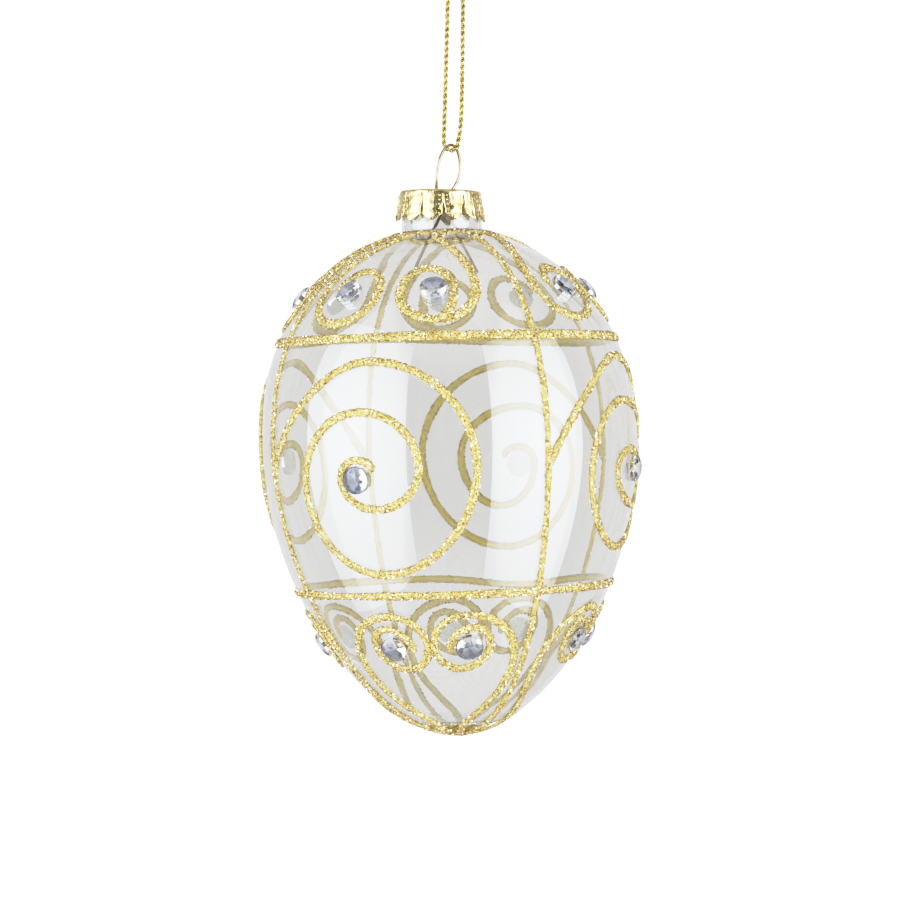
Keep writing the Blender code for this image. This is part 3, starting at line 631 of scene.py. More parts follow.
# %% Glitter glue
glue_finish, parts = new_finish("glitter_glue_finish", 0.5, metallic=0.1)
tree, shader, spot = parts
to_mm = in_millimetres(tree)
flakes = tree.nodes.new("ShaderNodeTexVoronoi")
flakes.inputs["Scale"].default_value = 2.6
flake_tone = tree.nodes.new("ShaderNodeSeparateColor")
flake_shades = colour_ramp(
    tree, (0.0, (0.42, 0.31, 0.05)), (0.55, (0.68, 0.52, 0.14)), (1.0, (0.92, 0.81, 0.38))
)
link_all(
    tree,
    (spot, "Object", to_mm, 0),
    (to_mm, 0, flakes, "Vector"),
    (flakes, "Color", flake_tone, 0),
    (flake_tone, 0, flake_shades, 0),
    (flake_shades, 0, shader, "Base Color"),
)
roughened(parts, 2.5, 0.0001, 0.6)
underside_finish, parts = new_finish("glitter_underside_finish", 0.7)
mottled(parts, 2.6, (0.94, 0.73, 0.14), (0.42, 0.29, 0.02))
print("made", glitter_finish.name, glue_finish.name, underside_finish.name)

# %% [markdown]
# **Crystal and foil.** The stones are clear, cut resin or glass over a mirror foil. Two finishes make them:
# a clear crown with plain glass values, and under it a bright foil with a cool, slightly violet tint. A
# third one, dull and pale, is their back.

# %% Crystal, foil and backing
crystal_finish, parts = new_finish("crystal_finish", 0.0, transmission=1.0, ior=1.55)
parts[1].inputs["Base Color"].default_value = (0.97, 0.98, 1.0, 1.0)
roughened(parts, 1.5, 0.00001, 0.2)
let_lamps_through(parts, (0.97, 0.98, 1.0, 1.0))

foil_finish, parts = new_finish("foil_finish", 0.03, metallic=1.0)
mottled(parts, 0.6, (1.0, 1.0, 1.0), (0.60, 0.64, 0.92))

backing_finish, parts = new_finish("stone_backing_finish", 0.6)
mottled(parts, 1.6, (0.86, 0.85, 0.78), (0.62, 0.60, 0.48))
print("made", crystal_finish.name, foil_finish.name, backing_finish.name)

# %% [markdown]
# **Gold sheet, wire and thread** are metals, each mottled between two golds. The sheet is crinkled along
# its height. The thread's fine ribs are a wave pattern that follows the winding of each ply.

# %% Gold sheet, wire and thread
gold_finish, parts = new_finish("polished_gold_finish", 0.14, metallic=1.0)
mottled(parts, 0.6, (0.84, 0.72, 0.38), (0.48, 0.34, 0.10))
roughened(parts, 1.2, 0.0003, 0.7, upright=0.3)

wire_finish, parts = new_finish("gold_wire_finish", 0.16, metallic=1.0)
mottled(parts, 0.35, (0.50, 0.45, 0.36), (0.36, 0.20, 0.05))
roughened(parts, 2.0, 0.00003, 0.4)

thread_finish, parts = new_finish("gold_thread_finish", 0.2, metallic=1.0)
mottled(parts, 1.2, (0.62, 0.50, 0.18), (0.30, 0.22, 0.05))
tree, shader, spot = parts
winding = tree.nodes.new("ShaderNodeTexWave")
winding.bands_direction = "DIAGONAL"
winding.inputs["Scale"].default_value = 1.4
winding.inputs["Distortion"].default_value = 1.0
ribs = tree.nodes.new("ShaderNodeBump")
ribs.inputs["Strength"].default_value = 0.6
ribs.inputs["Distance"].default_value = 0.0001
link_all(
    tree,
    (spot, "UV", winding, "Vector"),
    (winding, 1, ribs, "Height"),
    (ribs, "Normal", shader, "Normal"),
)
for piece in (cord, knot):
    piece.data.materials.append(thread_finish)
print("finishes:", [m.name for m in bpy.data.materials if m.name.endswith("_finish")])

# %% [markdown]
# ## The egg as a surface
# Glass, glitter and stones all lie on one shape, so it is described once: a rounded crown over the widest
# plane and a longer, more pointed tip below, each a stretched circle. A place on it is a pair: degrees
# round the egg from its front, and the *run*, the distance down the glass from the foot of the neck.
# The whole egg hangs two degrees out of plumb, from the top of its ring.

# %% Sizes and the shape of the glass
EGG_RADIUS = 44.5 * MM
CROWN_HEIGHT = 51.9 * MM
TIP_DEPTH = 67.4 * MM
CROWN_FULLNESS, CROWN_ROOT = 2.287, 2.0
TIP_FULLNESS, TIP_ROOT = 1.718, 1.872
GLASS_WALL = 1.0 * MM
NECK_RADIUS = 9.6 * MM
NECK_TAPER = 0.6 * MM
NECK_LENGTH = 8.9 * MM
CLEARANCE = 0.3 * MM
CAP_SHEET = 0.35 * MM
CAP_LEAN_DEG = 2.6
RING_HEIGHT = 10.9 * MM
RING_TURN_DEG = 58.0
RING_SHIFT = 0.85 * MM
RING_LEAN_ALONG = 1.1 * MM
RING_LEAN_ACROSS = 1.75 * MM
HANG_TILT_DEG = -2.0
PIVOT = Vector((-1.0 * MM, 0.0, -40.3 * MM))


def glass_rows(step_deg):
    """(radius, height) down the glass from the foot of the neck to the tip."""
    start = math.acos((NECK_RADIUS / EGG_RADIUS) ** (CROWN_ROOT / 2))
    sweep = start + math.pi / 2
    count = max(12, round(math.degrees(sweep) / step_deg))
    angle = start - sweep * np.arange(count) / count
    swell, rise = np.maximum(np.cos(angle), 0.0), np.abs(np.sin(angle))
    crown = angle >= 0.0
    radius = EGG_RADIUS * np.where(crown, swell ** (2 / CROWN_ROOT), swell ** (2 / TIP_ROOT))
    below = -TIP_DEPTH * rise ** (2 / TIP_FULLNESS)
    height = np.where(crown, CROWN_HEIGHT * rise ** (2 / CROWN_FULLNESS), below)
    return np.vstack([np.stack([radius, height], 1), [[0.0, -TIP_DEPTH]]])


SHAPE_ROWS = glass_rows(0.5)
SHAPE_RUNS = np.concatenate([[0.0], np.cumsum(np.linalg.norm(np.diff(SHAPE_ROWS, axis=0), axis=1))])
SHAPE_SLOPES = np.gradient(SHAPE_ROWS, SHAPE_RUNS, axis=0)
TIP_RUN = float(SHAPE_RUNS[-1])


def run_at(height):
    """How far down the glass this height is."""
    return float(np.interp(-height, -SHAPE_ROWS[:, 1], SHAPE_RUNS))


def radius_at(height):
    """Radius of the glass at this height."""
    return float(np.interp(-height, -SHAPE_ROWS[:, 1], SHAPE_ROWS[:, 0]))


def on_glass(degrees, run, lift=0.0):
    """Points over the glass at these places, and the glass's outward directions there."""
    angle = np.radians(degrees)
    run = np.clip(run, 0.0, TIP_RUN)
    radius, height = (np.interp(run, SHAPE_RUNS, SHAPE_ROWS[:, k]) for k in (0, 1))
    slopes = [np.interp(run, SHAPE_RUNS, SHAPE_SLOPES[:, k]) for k in (0, 1)]
    out, up = -slopes[1], slopes[0]
    size = np.hypot(out, up)
    normal = np.stack([np.sin(angle) * out / size, -np.cos(angle) * out / size, up / size], -1)
    point = np.stack([np.sin(angle) * radius, -np.cos(angle) * radius, height], -1)
    return point + normal * lift, normal


NECK_SHARE = (NECK_RADIUS / EGG_RADIUS) ** CROWN_ROOT
RIM_HEIGHT = CROWN_HEIGHT * (1.0 - NECK_SHARE) ** (1.0 / CROWN_FULLNESS) + NECK_LENGTH
LEAN_ROOM = (NECK_RADIUS - NECK_TAPER) * math.tan(math.radians(CAP_LEAN_DEG))
CAP_TOP = RIM_HEIGHT + CLEARANCE + LEAN_ROOM + CAP_SHEET
RING_TURN = math.radians(RING_TURN_DEG)
RING_ALONG = Vector((math.cos(RING_TURN), math.sin(RING_TURN), 0.0))
RING_ACROSS = Vector((math.sin(RING_TURN), -math.cos(RING_TURN), 0.0))
RING_LEAN = RING_ALONG * RING_LEAN_ALONG + RING_ACROSS * RING_LEAN_ACROSS
RING_TOP = RING_LEAN + Vector((RING_SHIFT, 0.0, CAP_TOP + RING_HEIGHT))
HANGING = (
    Matrix.Translation(PIVOT)
    @ Matrix.Rotation(math.radians(HANG_TILT_DEG), 4, "Y")
    @ Matrix.Translation(-RING_TOP)
)


def hang(piece):
    """Moves a piece that was built about the middle of the egg's widest plane to its place."""
    piece.data.transform(HANGING)
    piece.data.update()
    return piece


print("tip to rim in mm:", round((RIM_HEIGHT + TIP_DEPTH) / MM, 1))

# %% [markdown]
# ## The glass
# The egg is blown, so its wall is one skin with the same shape inside and out, about 1 mm thick. A real
# inner wall matters for clear glass: light bends going in and out of each skin, and a solid egg would act
# as a lens. The outline is turned about the axis in code, down the outside and back up the inside.

# %% Glass egg with its neck
GLASS_SIDES = 160
NECK_FILLET = 0.9 * MM
INNER_TIP_RADIUS = 0.4 * MM


def turned_parts(outline, sides):
    """Points and faces of an outline turned about the axis. A radius of 0 closes it there."""
    points, rings, faces = [], [], []
    angle = np.linspace(0, 2 * np.pi, sides, endpoint=False)
    for radius, height in outline:
        rings.append((len(points), radius > 0.0))
        if radius > 0.0:
            points.extend(zip(radius * np.cos(angle), radius * np.sin(angle), [height] * sides))
        else:
            points.append((0.0, 0.0, height))
    for (upper, upper_round), (lower, lower_round) in zip(rings, rings[1:]):
        for i in range(sides):
            after = (i + 1) % sides
            if not upper_round:
                faces.append((upper, lower + i, lower + after))
            elif not lower_round:
                faces.append((upper + i, lower, upper + after))
            else:
                faces.append((upper + i, lower + i, lower + after, upper + after))
    return points, faces


skin = glass_rows(1.0)
skin = skin[skin[:, 0] > NECK_RADIUS + NECK_FILLET]
skin = np.vstack([skin, [[0.0, -TIP_DEPTH]]])
foot = RIM_HEIGHT - NECK_LENGTH
bend = np.linspace(0, 1, 7)[:-1, None]
fillet_top = np.array([NECK_RADIUS - NECK_TAPER * 0.15, foot + NECK_FILLET * 1.4])
fillet_pull = np.array([NECK_RADIUS, foot])
fillet = fillet_top * (1 - bend) ** 2 + fillet_pull * 2 * bend * (1 - bend) + skin[0] * bend**2
rim_radius = NECK_RADIUS - NECK_TAPER
lip = GLASS_WALL / 2
around_lip = np.radians(np.linspace(180, 0, 9))
rim = np.stack([rim_radius - lip + lip * np.cos(around_lip), RIM_HEIGHT - lip + lip * np.sin(around_lip)], 1)
outside = np.vstack([rim, fillet, skin])
below_neck = np.vstack([fillet, skin])[:-1]
slope = np.gradient(below_neck, axis=0)
slope /= np.linalg.norm(slope, axis=1)[:, None]
inside = below_neck - np.stack([-slope[:, 1], slope[:, 0]], 1) * GLASS_WALL
inside = inside[inside[:, 0] > INNER_TIP_RADIUS]
outline = np.vstack([[[0.0, -TIP_DEPTH + GLASS_WALL]], inside[::-1], outside])
glass = hang(add_piece("glass", *turned_parts(outline, GLASS_SIDES), glass_finish))
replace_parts(glass, "glass_egg")

# %% [markdown]
# ## Where the glitter runs
# The lines are drawn by hand with glue, but they follow a plan: two bands, four meridians, four large
# coils between the bands, and mirrored pairs of curls near the neck and near the tip. Each is a trail of
# places on the glass. A coil is made of quarter turns between its outermost points, so that it can be
# fitted to the real one with a few numbers.

# %% Widths and places of the glitter lines
LINE_WIDTH = 1.8 * MM
UPPER_LINE_WIDTH = 2.1 * MM
MERIDIAN_WIDTH = 1.45 * MM
COLLAR_WIDTH = 2.2 * MM
BLOB_WIDTH = 2.6 * MM
COLLAR_RUN = 0.5 * MM + COLLAR_WIDTH / 2
TIP_BEAD_RADIUS = 3.2 * MM
STONE_RADIUS = 3.2 * MM
MERIDIAN_DEG = (-66.0, 30.0, 120.6, 207.0)
MERIDIAN_DRIFT_DEG = 6.0
COIL_SPAN_DEG = 28.2
COIL_TALL = 24.2 * MM
COIL_FOOT_HEIGHT = -4.6 * MM
# Each coil: its middle (degrees, height), size, its stone (degrees, height), the hook's slack and drop.
COILS = (
    (-20.3, -3.8 * MM, 1.00, -28.5, -6.2 * MM, 0.0, 6.9 * MM),
    (73.0, -1.9 * MM, 0.92, 74.5, -6.0 * MM, 8.0, 8.5 * MM),
    (162.5, -2.4 * MM, 0.94, 157.0, -4.9 * MM, 0.0, 10.2 * MM),
    (250.5, 0.3 * MM, 0.90, 243.5, -2.2 * MM, 2.0, 9.6 * MM),
)
UPPER_PAIR_DEG = (-22.0, 73.5, 163.5, 250.0)
UPPER_PAIR_SPREAD_DEG = 18.0
UPPER_STONE_HEIGHT = 36.2 * MM
UPPER_CURL_DEG = 15.5
UPPER_CURL_DROP = 6.8 * MM
FULL_CURLS = (1, 5)
LOWER_PAIR_DEG = (-10.8, 80.2, 166.5, 256.8)
LOWER_PAIR_SPREAD_DEG = 16.3
LOWER_STONE_DEPTH = 45.0 * MM
LOWER_CURL_DEG = 15.0
LOWER_CURL_RISE = 7.3 * MM
LOWER_CURL_SIDE_DEG = 22.0
LOWER_FOOT_DEG = 9.0
# Each band: its height, its wave (rise, degrees) and its bump (rise, degrees, spread in degrees).
UPPER_BAND = (25.9 * MM, (-1.2 * MM, 130.0), (2.4 * MM, 203.0, 48.0))
LOWER_BAND = (-33.0 * MM, (0.6 * MM, 190.0), (-2.1 * MM, 153.0, 22.0))
print("stones:", len(COILS) + 2 * len(UPPER_PAIR_DEG) + 2 * len(LOWER_PAIR_DEG))

# %% [markdown]
# Two kinds of curve make the coils and curls. Quarter turns wind through a line's outermost points, and a
# bend leads into them from the place where the line starts.


# %% Curves that trails are made of
def quarter_turns(ends, steps=12):
    """A coiling trail through its outermost points, by turns a side and a top or bottom, a side first."""
    trail = []
    for k, (here, there) in enumerate(zip(ends, ends[1:])):
        for i in range(steps):
            far = math.cos(math.pi / 2 * i / steps)
            near = math.sin(math.pi / 2 * i / steps)
            if k % 2 == 0:
                trail.append((there[0] + (here[0] - there[0]) * far, here[1] + (there[1] - here[1]) * near))
            else:
                trail.append((here[0] + (there[0] - here[0]) * near, there[1] + (here[1] - there[1]) * far))
    return [*trail, ends[-1]]


def quarter_turns_from_top(ends):
    """quarter_turns for a coil whose first outermost point is its top or bottom."""
    turned_ends = [(run, degrees) for degrees, run in ends]
    return [(degrees, run) for run, degrees in quarter_turns(turned_ends)]


def bend_between(start, start_pull, end_pull, end, steps=24):
    """A smooth bend from start to end, which leaves and arrives along the two pulls."""
    share = np.linspace(0, 1, steps, endpoint=False)[:, None]
    spots = [np.array(place) for place in (start, start_pull, end_pull, end)]
    weights = ((1 - share) ** 3, 3 * (1 - share) ** 2 * share, 3 * (1 - share) * share**2, share**3)
    return [tuple(place) for place in sum(weight * place for weight, place in zip(weights, spots))]


# %% [markdown]
# A band runs once round the egg, with the slow wave and the bump that the hand gave it. A meridian runs
# from the collar to the tip.


# %% Bands and meridians
def band_trail(height, wave, bump, steps=180):
    """Once round the egg, as unsteady as a hand that draws it.

    The wave is (rise, degrees) and slow. The bump is (rise, degrees, spread in degrees) and short.
    """
    trail = []
    for i in range(steps + 1):
        degrees = 360.0 * i / steps
        slow = (1.0 + math.cos(math.radians(degrees - wave[1]))) / 2
        short = math.exp(-(((degrees - bump[1]) / bump[2]) ** 2))
        trail.append((degrees, run_at(height + wave[0] * slow + bump[0] * short)))
    trail[-1] = (360.0, trail[0][1])
    return trail


def meridian_trail(degrees, steps=100):
    """From the collar to the tip, drifting sideways as it nears the tip."""
    waist = run_at(0.0)
    trail = []
    for i in range(steps + 1):
        run = COLLAR_RUN + (TIP_RUN - COLLAR_RUN - TIP_BEAD_RADIUS / 2) * i / steps
        drift = MERIDIAN_DRIFT_DEG * max(0.0, (run - waist) / (TIP_RUN - waist)) ** 2
        trail.append((degrees + drift, run))
    return trail


# %% [markdown]
# A coil and both kinds of curl end in a hook round their stone. Their outermost points are placed from the
# stone's own place, so that the line always clears it.


# %% Coils and curls
def places_from(degrees, height, *offsets, hand=1.0):
    """Places at (degrees, height) offsets from one place. A hand of -1 mirrors them."""
    return [(degrees + hand * side, run_at(height + rise)) for side, rise in offsets]


def reach_round_stone(line_width, height):
    """How far from a stone's middle a line runs that just clears it, as a length and in degrees."""
    reach = STONE_RADIUS + CLEARANCE + line_width / 2
    return reach, math.degrees(reach / radius_at(height))


def coil_trail(meridian, middle_deg, middle_height, size, stone_deg, stone_height, slack_deg, drop):
    """From the meridian over the coil's top, twice round and into the hook about its stone."""
    reach, reach_deg = reach_round_stone(LINE_WIDTH, stone_height)
    span, tall = COIL_SPAN_DEG * size, COIL_TALL * size
    wide_turns = (
        (-span / 6, tall),
        (span, 0.0),
        (-span / 10, -tall),
        (-span, -tall / 5),
        (-span / 4, tall * 0.53),
    )
    hook = (
        (reach_deg, -drop),
        (-reach_deg - slack_deg, 0.0),
        (-slack_deg / 2, reach),
        (reach_deg * 0.9, reach * 0.4),
    )
    tops = places_from(middle_deg, middle_height, *wide_turns)
    tops += places_from(stone_deg, middle_height, (reach_deg * 3.4, 0.0))
    tops += places_from(stone_deg, stone_height, *hook)
    tail_end = (meridian, run_at(COIL_FOOT_HEIGHT))
    rise = tail_end[1] - tops[0][1]
    tail = bend_between(
        tail_end,
        (meridian + span * 0.25, tail_end[1] - rise * 0.4),
        (tops[0][0] - span * 0.55, tops[0][1]),
        tops[0],
    )
    return tail + quarter_turns_from_top(tops)


def upper_curl_trail(stone_deg, hand, full=False):
    """From the collar down one side of the stone and once round it. A full curl runs on into its own foot."""
    reach, reach_deg = reach_round_stone(UPPER_LINE_WIDTH, UPPER_STONE_HEIGHT)
    wide = UPPER_CURL_DEG
    offsets = [
        (-wide * 1.08, reach / 4),
        (-wide / 8, -UPPER_CURL_DROP),
        (wide * 0.87, 0.0),
        (wide / 5, reach * 1.12),
        (-reach_deg, reach / 5),
    ]
    if full:
        offsets.append((-reach_deg * 0.3, -reach * 1.35))
    ends = places_from(stone_deg, UPPER_STONE_HEIGHT, *offsets, hand=hand)
    drop = ends[0][1] - COLLAR_RUN
    tail = bend_between(
        (stone_deg + hand * wide * 0.4, COLLAR_RUN),
        (stone_deg - hand * wide * 0.2, COLLAR_RUN + drop * 0.25),
        (ends[0][0], ends[0][1] - drop * 0.45),
        ends[0],
    )
    return tail + quarter_turns(ends)


def lower_curl_trail(stone_deg, pair_deg, hand):
    """From the tip up one side of the stone, over it, down and once more closely round it."""
    reach, reach_deg = reach_round_stone(LINE_WIDTH, -LOWER_STONE_DEPTH)
    wide = LOWER_CURL_DEG
    offsets = (
        (-LOWER_CURL_SIDE_DEG, -reach * 1.2),
        (wide / 15, LOWER_CURL_RISE),
        (wide, 0.0),
        (wide / 4, -reach * 1.2),
        (-reach_deg * 1.1, 0.0),
        (-reach_deg / 5, reach),
        (reach_deg, -reach / 4),
    )
    ends = places_from(stone_deg, -LOWER_STONE_DEPTH, *offsets, hand=hand)
    near_tip = TIP_RUN - TIP_BEAD_RADIUS * (0.6 + hand * 0.1)
    tail = bend_between(
        (pair_deg - hand * LOWER_FOOT_DEG, near_tip),
        (pair_deg - hand * wide * 0.7, near_tip - (near_tip - ends[0][1]) * 0.4),
        (ends[0][0], ends[0][1] + (near_tip - ends[0][1]) * 0.5),
        ends[0],
    )
    return tail + quarter_turns(ends)


# %% [markdown]
# Each line is now a trail, a width, and whether it closes on itself.


# %% All the lines
def paired(middles, spread_deg):
    """(place, middle of its pair, hand) for the two places of each pair."""
    return [(middle - hand * spread_deg, middle, hand) for middle in middles for hand in (1.0, -1.0)]


collar_trail = [(2.5 * i, COLLAR_RUN) for i in range(145)]
blob_trail = [(1.5 * i - 3.0, COLLAR_RUN + 1.4 * MM + 0.25 * MM * i) for i in range(5)]
UPPER_STONES = paired(UPPER_PAIR_DEG, UPPER_PAIR_SPREAD_DEG)
LOWER_STONES = paired(LOWER_PAIR_DEG, LOWER_PAIR_SPREAD_DEG)
BANDS = [
    (band_trail(*UPPER_BAND), UPPER_LINE_WIDTH, True),
    (band_trail(*LOWER_BAND), LINE_WIDTH, True),
    (collar_trail, COLLAR_WIDTH, True),
    (blob_trail, BLOB_WIDTH, False),
]
MERIDIANS = [(meridian_trail(degrees), MERIDIAN_WIDTH, False) for degrees in MERIDIAN_DEG]
COIL_LINES = [(coil_trail(m, *coil), LINE_WIDTH, False) for m, coil in zip(MERIDIAN_DEG, COILS)]
UPPER_CURLS = [
    (upper_curl_trail(stone_deg, hand, full=i in FULL_CURLS), UPPER_LINE_WIDTH, False)
    for i, (stone_deg, _, hand) in enumerate(UPPER_STONES)
]
LOWER_CURLS = [(lower_curl_trail(*place), LINE_WIDTH, False) for place in LOWER_STONES]
print("lines:", len(BANDS + MERIDIANS + COIL_LINES + UPPER_CURLS + LOWER_CURLS))

# %% [markdown]
# ## The bed of each line
# A glue line is a low mound with a flat foot on the glass. Its width wanders a little, because a hand drew
# it, and its ends are rounded. The faces that may carry chips are marked with an attribute, *chips here*,
# so that none are scattered under the foot.

# %% Mounds of glue
MOUND = np.array([(-0.5, 0.0), (-0.44, 0.42), (-0.2, 0.8), (0.2, 0.8), (0.44, 0.42), (0.5, 0.0)])
MOUND_HEIGHT = 0.58 * MM
MOUND_STEP = 0.8 * MM
FOOT_LIFT = 0.02 * MM
LINE_WANDER = 0.10
BLUNT_END = 0.2 * MM


def wander(count, seed, closed):
    """A slow random wave of about -1 to 1."""
    random = np.random.default_rng(seed)
    at = np.linspace(0, 2 * np.pi, count)
    waves = range(3, 12) if closed else np.linspace(2, count / 14 + 3, 9)
    return sum(random.normal(0, 0.33) * np.sin(w * at + random.uniform(0, 6.28)) for w in waves)


def mound_parts(trail, width, closed, seed):
    """Points and faces of one line's mound."""
    degrees, runs = np.array(trail, float).T
    spots, _ = on_glass(degrees, runs)
    lengths = np.linalg.norm(np.diff(spots, axis=0), axis=1)
    measured = np.concatenate([[0.0], np.cumsum(lengths)])
    at = np.linspace(0, measured[-1], max(4, round(measured[-1] / MOUND_STEP)) + 1)
    places = [np.interp(at, measured, values) for values in (degrees, runs)]
    line, up = on_glass(*places, FOOT_LIFT)
    if closed:
        line, up = line[:-1], up[:-1]
        ahead = np.roll(line, -1, axis=0) - np.roll(line, 1, axis=0)
    else:
        ahead = np.gradient(line, axis=0)
    across = np.cross(ahead, up)
    across /= np.linalg.norm(across, axis=1)[:, None]
    count = len(line)
    size = width * (1.0 + LINE_WANDER * wander(count, seed, closed))
    if not closed:
        from_end = np.minimum(np.arange(count), np.arange(count)[::-1]) * MOUND_STEP + BLUNT_END
        size = size * np.sqrt(np.clip(from_end / (width * 0.5), 0.1, 1.0))
    tall = MOUND_HEIGHT * np.minimum(1.0, size / width * 1.05)
    points = (
        line[:, None]
        + across[:, None] * (MOUND[None, :, 0] * size[:, None])[:, :, None]
        + up[:, None] * (MOUND[None, :, 1] * tall[:, None])[:, :, None]
    ).reshape(-1, 3)
    m = len(MOUND)
    faces, marks = [], []
    for i in range(count if closed else count - 1):
        after = (i + 1) % count
        for k in range(m):
            other = (k + 1) % m
            faces.append((i * m + k, i * m + other, after * m + other, after * m + k))
            marks.append(k < m - 1)
    if not closed:
        faces += [tuple(range(m))[::-1], tuple(range((count - 1) * m, count * m))]
        marks += [True, True]
    return points, faces, marks


def add_mounds(name, lines, seed):
    """One piece for several lines, with the faces marked that carry chips."""
    parts = [mound_parts(*line, seed + i) for i, line in enumerate(lines)]
    points, faces = joined([part[:2] for part in parts])
    piece = add_piece(name, points, faces)
    marks = piece.data.attributes.new("chips_here", "BOOLEAN", "FACE")
    marks.data.foreach_set("value", [mark for part in parts for mark in part[2]])
    return piece


# %% [markdown]
# ## Scattering the chips
# Chips repeat by the thousand and follow a surface, which is what Geometry Nodes are for. The tree below
# spreads points over the marked faces at an even spacing, puts a small five-sided chip on each, turned and
# sized at random from a fixed seed, and gives every chip its grain tone. It joins them to the mound, and
# ends with real geometry and a material, because instances wouldn't reach an exported model.


# %% Helpers for Geometry Nodes
def new_tree(name, inputs):
    """A Geometry Nodes tree with named inputs: {name: (type, value)}."""
    tree = bpy.data.node_groups.new(name, "GeometryNodeTree")
    tree.interface.new_socket("Geometry", in_out="INPUT", socket_type="NodeSocketGeometry")
    for label, (kind, value) in inputs.items():
        socket = tree.interface.new_socket(label, in_out="INPUT", socket_type=kind)
        if value is not None:
            socket.default_value = value
    tree.interface.new_socket("Geometry", in_out="OUTPUT", socket_type="NodeSocketGeometry")
    return tree, tree.nodes.new("NodeGroupInput"), tree.nodes.new("NodeGroupOutput")


def run_tree(piece, tree, **values):
    """Runs a tree on a piece, sets its inputs by identifier, and keeps the result as a plain mesh."""
    modifier = piece.modifiers.new(tree.name, "NODES")
    modifier.node_group = tree
    sockets = {item.name: item.identifier for item in tree.interface.items_tree if item.in_out == "INPUT"}
    for label, value in values.items():
        modifier[sockets[label.replace("_", " ")]] = value
    graph = bpy.context.evaluated_depsgraph_get()
    made = bpy.data.meshes.new_from_object(
        piece.evaluated_get(graph), preserve_all_data_layers=True, depsgraph=graph
    )
    piece.modifiers.clear()
    piece.data = made
    made.name = piece.name
    made.calc_loop_triangles()
    print(f"{piece.name}: {len(made.loop_triangles)} triangles after {tree.name}")
    return piece


# %% The glitter tree
glitter_tree, tree_in, tree_out = new_tree(
    "Scatter glitter chips",
    {
        "Chip Size": ("NodeSocketFloat", 0.23 * MM),
        "Chip Spacing": ("NodeSocketFloat", 0.33 * MM),
        "Most Chips per Area": ("NodeSocketFloat", 2.5e7),
        "Size Spread": ("NodeSocketFloat", 0.35),
        "Seed": ("NodeSocketInt", 1),
        "Chip Material": ("NodeSocketMaterial", None),
        "Glue Material": ("NodeSocketMaterial", None),
        "Underside Material": ("NodeSocketMaterial", None),
    },
)
CHIP_SIDES = 5
CHIP_TALLNESS = 1.35
ANY_TURN = 6.283
nodes = glitter_tree.nodes
marked = nodes.new("GeometryNodeInputNamedAttribute")
marked.data_type = "BOOLEAN"
marked.inputs["Name"].default_value = "chips_here"
spread_points = nodes.new("GeometryNodeDistributePointsOnFaces")
spread_points.distribute_method = "POISSON"
chip = nodes.new("GeometryNodeMeshCone")
chip.inputs["Vertices"].default_value = CHIP_SIDES
chip_height = math_node(glitter_tree, "MULTIPLY", second=CHIP_TALLNESS)
spin = nodes.new("FunctionNodeRandomValue")
spin.data_type = "FLOAT_VECTOR"
spin.inputs[1].default_value = (ANY_TURN, ANY_TURN, ANY_TURN)
smallest = math_node(glitter_tree, "SUBTRACT", first=1.0)
largest = math_node(glitter_tree, "ADD", first=1.0)
chip_scale = nodes.new("FunctionNodeRandomValue")
place_chips = nodes.new("GeometryNodeInstanceOnPoints")
chip_tone = nodes.new("FunctionNodeRandomValue")
store_tone = nodes.new("GeometryNodeStoreNamedAttribute")
store_tone.data_type = "FLOAT"
store_tone.domain = "INSTANCE"
store_tone.inputs["Name"].default_value = "grain_tone"
chips_real = nodes.new("GeometryNodeRealizeInstances")
chip_paint = nodes.new("GeometryNodeSetMaterial")
glue_paint = nodes.new("GeometryNodeSetMaterial")
unmarked = nodes.new("FunctionNodeBooleanMath")
unmarked.operation = "NOT"
underside_paint = nodes.new("GeometryNodeSetMaterial")
together = nodes.new("GeometryNodeJoinGeometry")
link_all(
    glitter_tree,
    (tree_in, "Geometry", spread_points, "Mesh"),
    (marked, "Attribute", spread_points, "Selection"),
    (tree_in, "Chip Spacing", spread_points, "Distance Min"),
    (tree_in, "Most Chips per Area", spread_points, "Density Max"),
    *((tree_in, "Seed", node, "Seed") for node in (spread_points, spin, chip_scale, chip_tone)),
    (tree_in, "Chip Size", chip, "Radius Bottom"),
    (tree_in, "Chip Size", chip_height, 0),
    (chip_height, 0, chip, "Depth"),
    (tree_in, "Size Spread", smallest, 1),
    (tree_in, "Size Spread", largest, 1),
    (smallest, 0, chip_scale, 2),
    (largest, 0, chip_scale, 3),
    (spread_points, "Points", place_chips, "Points"),
    (chip, "Mesh", place_chips, "Instance"),
    (spin, 0, place_chips, "Rotation"),
    (chip_scale, 1, place_chips, "Scale"),
    (place_chips, 0, store_tone, "Geometry"),
    (chip_tone, 1, store_tone, "Value"),
    (store_tone, 0, chips_real, 0),
    (chips_real, 0, chip_paint, "Geometry"),
    (tree_in, "Chip Material", chip_paint, "Material"),
    (tree_in, "Geometry", glue_paint, "Geometry"),
    (tree_in, "Glue Material", glue_paint, "Material"),
    (marked, "Attribute", unmarked, 0),
    (glue_paint, 0, underside_paint, "Geometry"),
    (unmarked, 0, underside_paint, "Selection"),
    (tree_in, "Underside Material", underside_paint, "Material"),
    (underside_paint, 0, together, 0),
    (chip_paint, 0, together, 0),
    (together, 0, tree_out, 0),
)
print(glitter_tree.name, "has", len(nodes), "nodes")

# %% [markdown]
# The lines are grouped into five pieces, so that none is too heavy. The bead of glitter at the tip, where
# the lines run together, is a small turned cap with chips all over it.

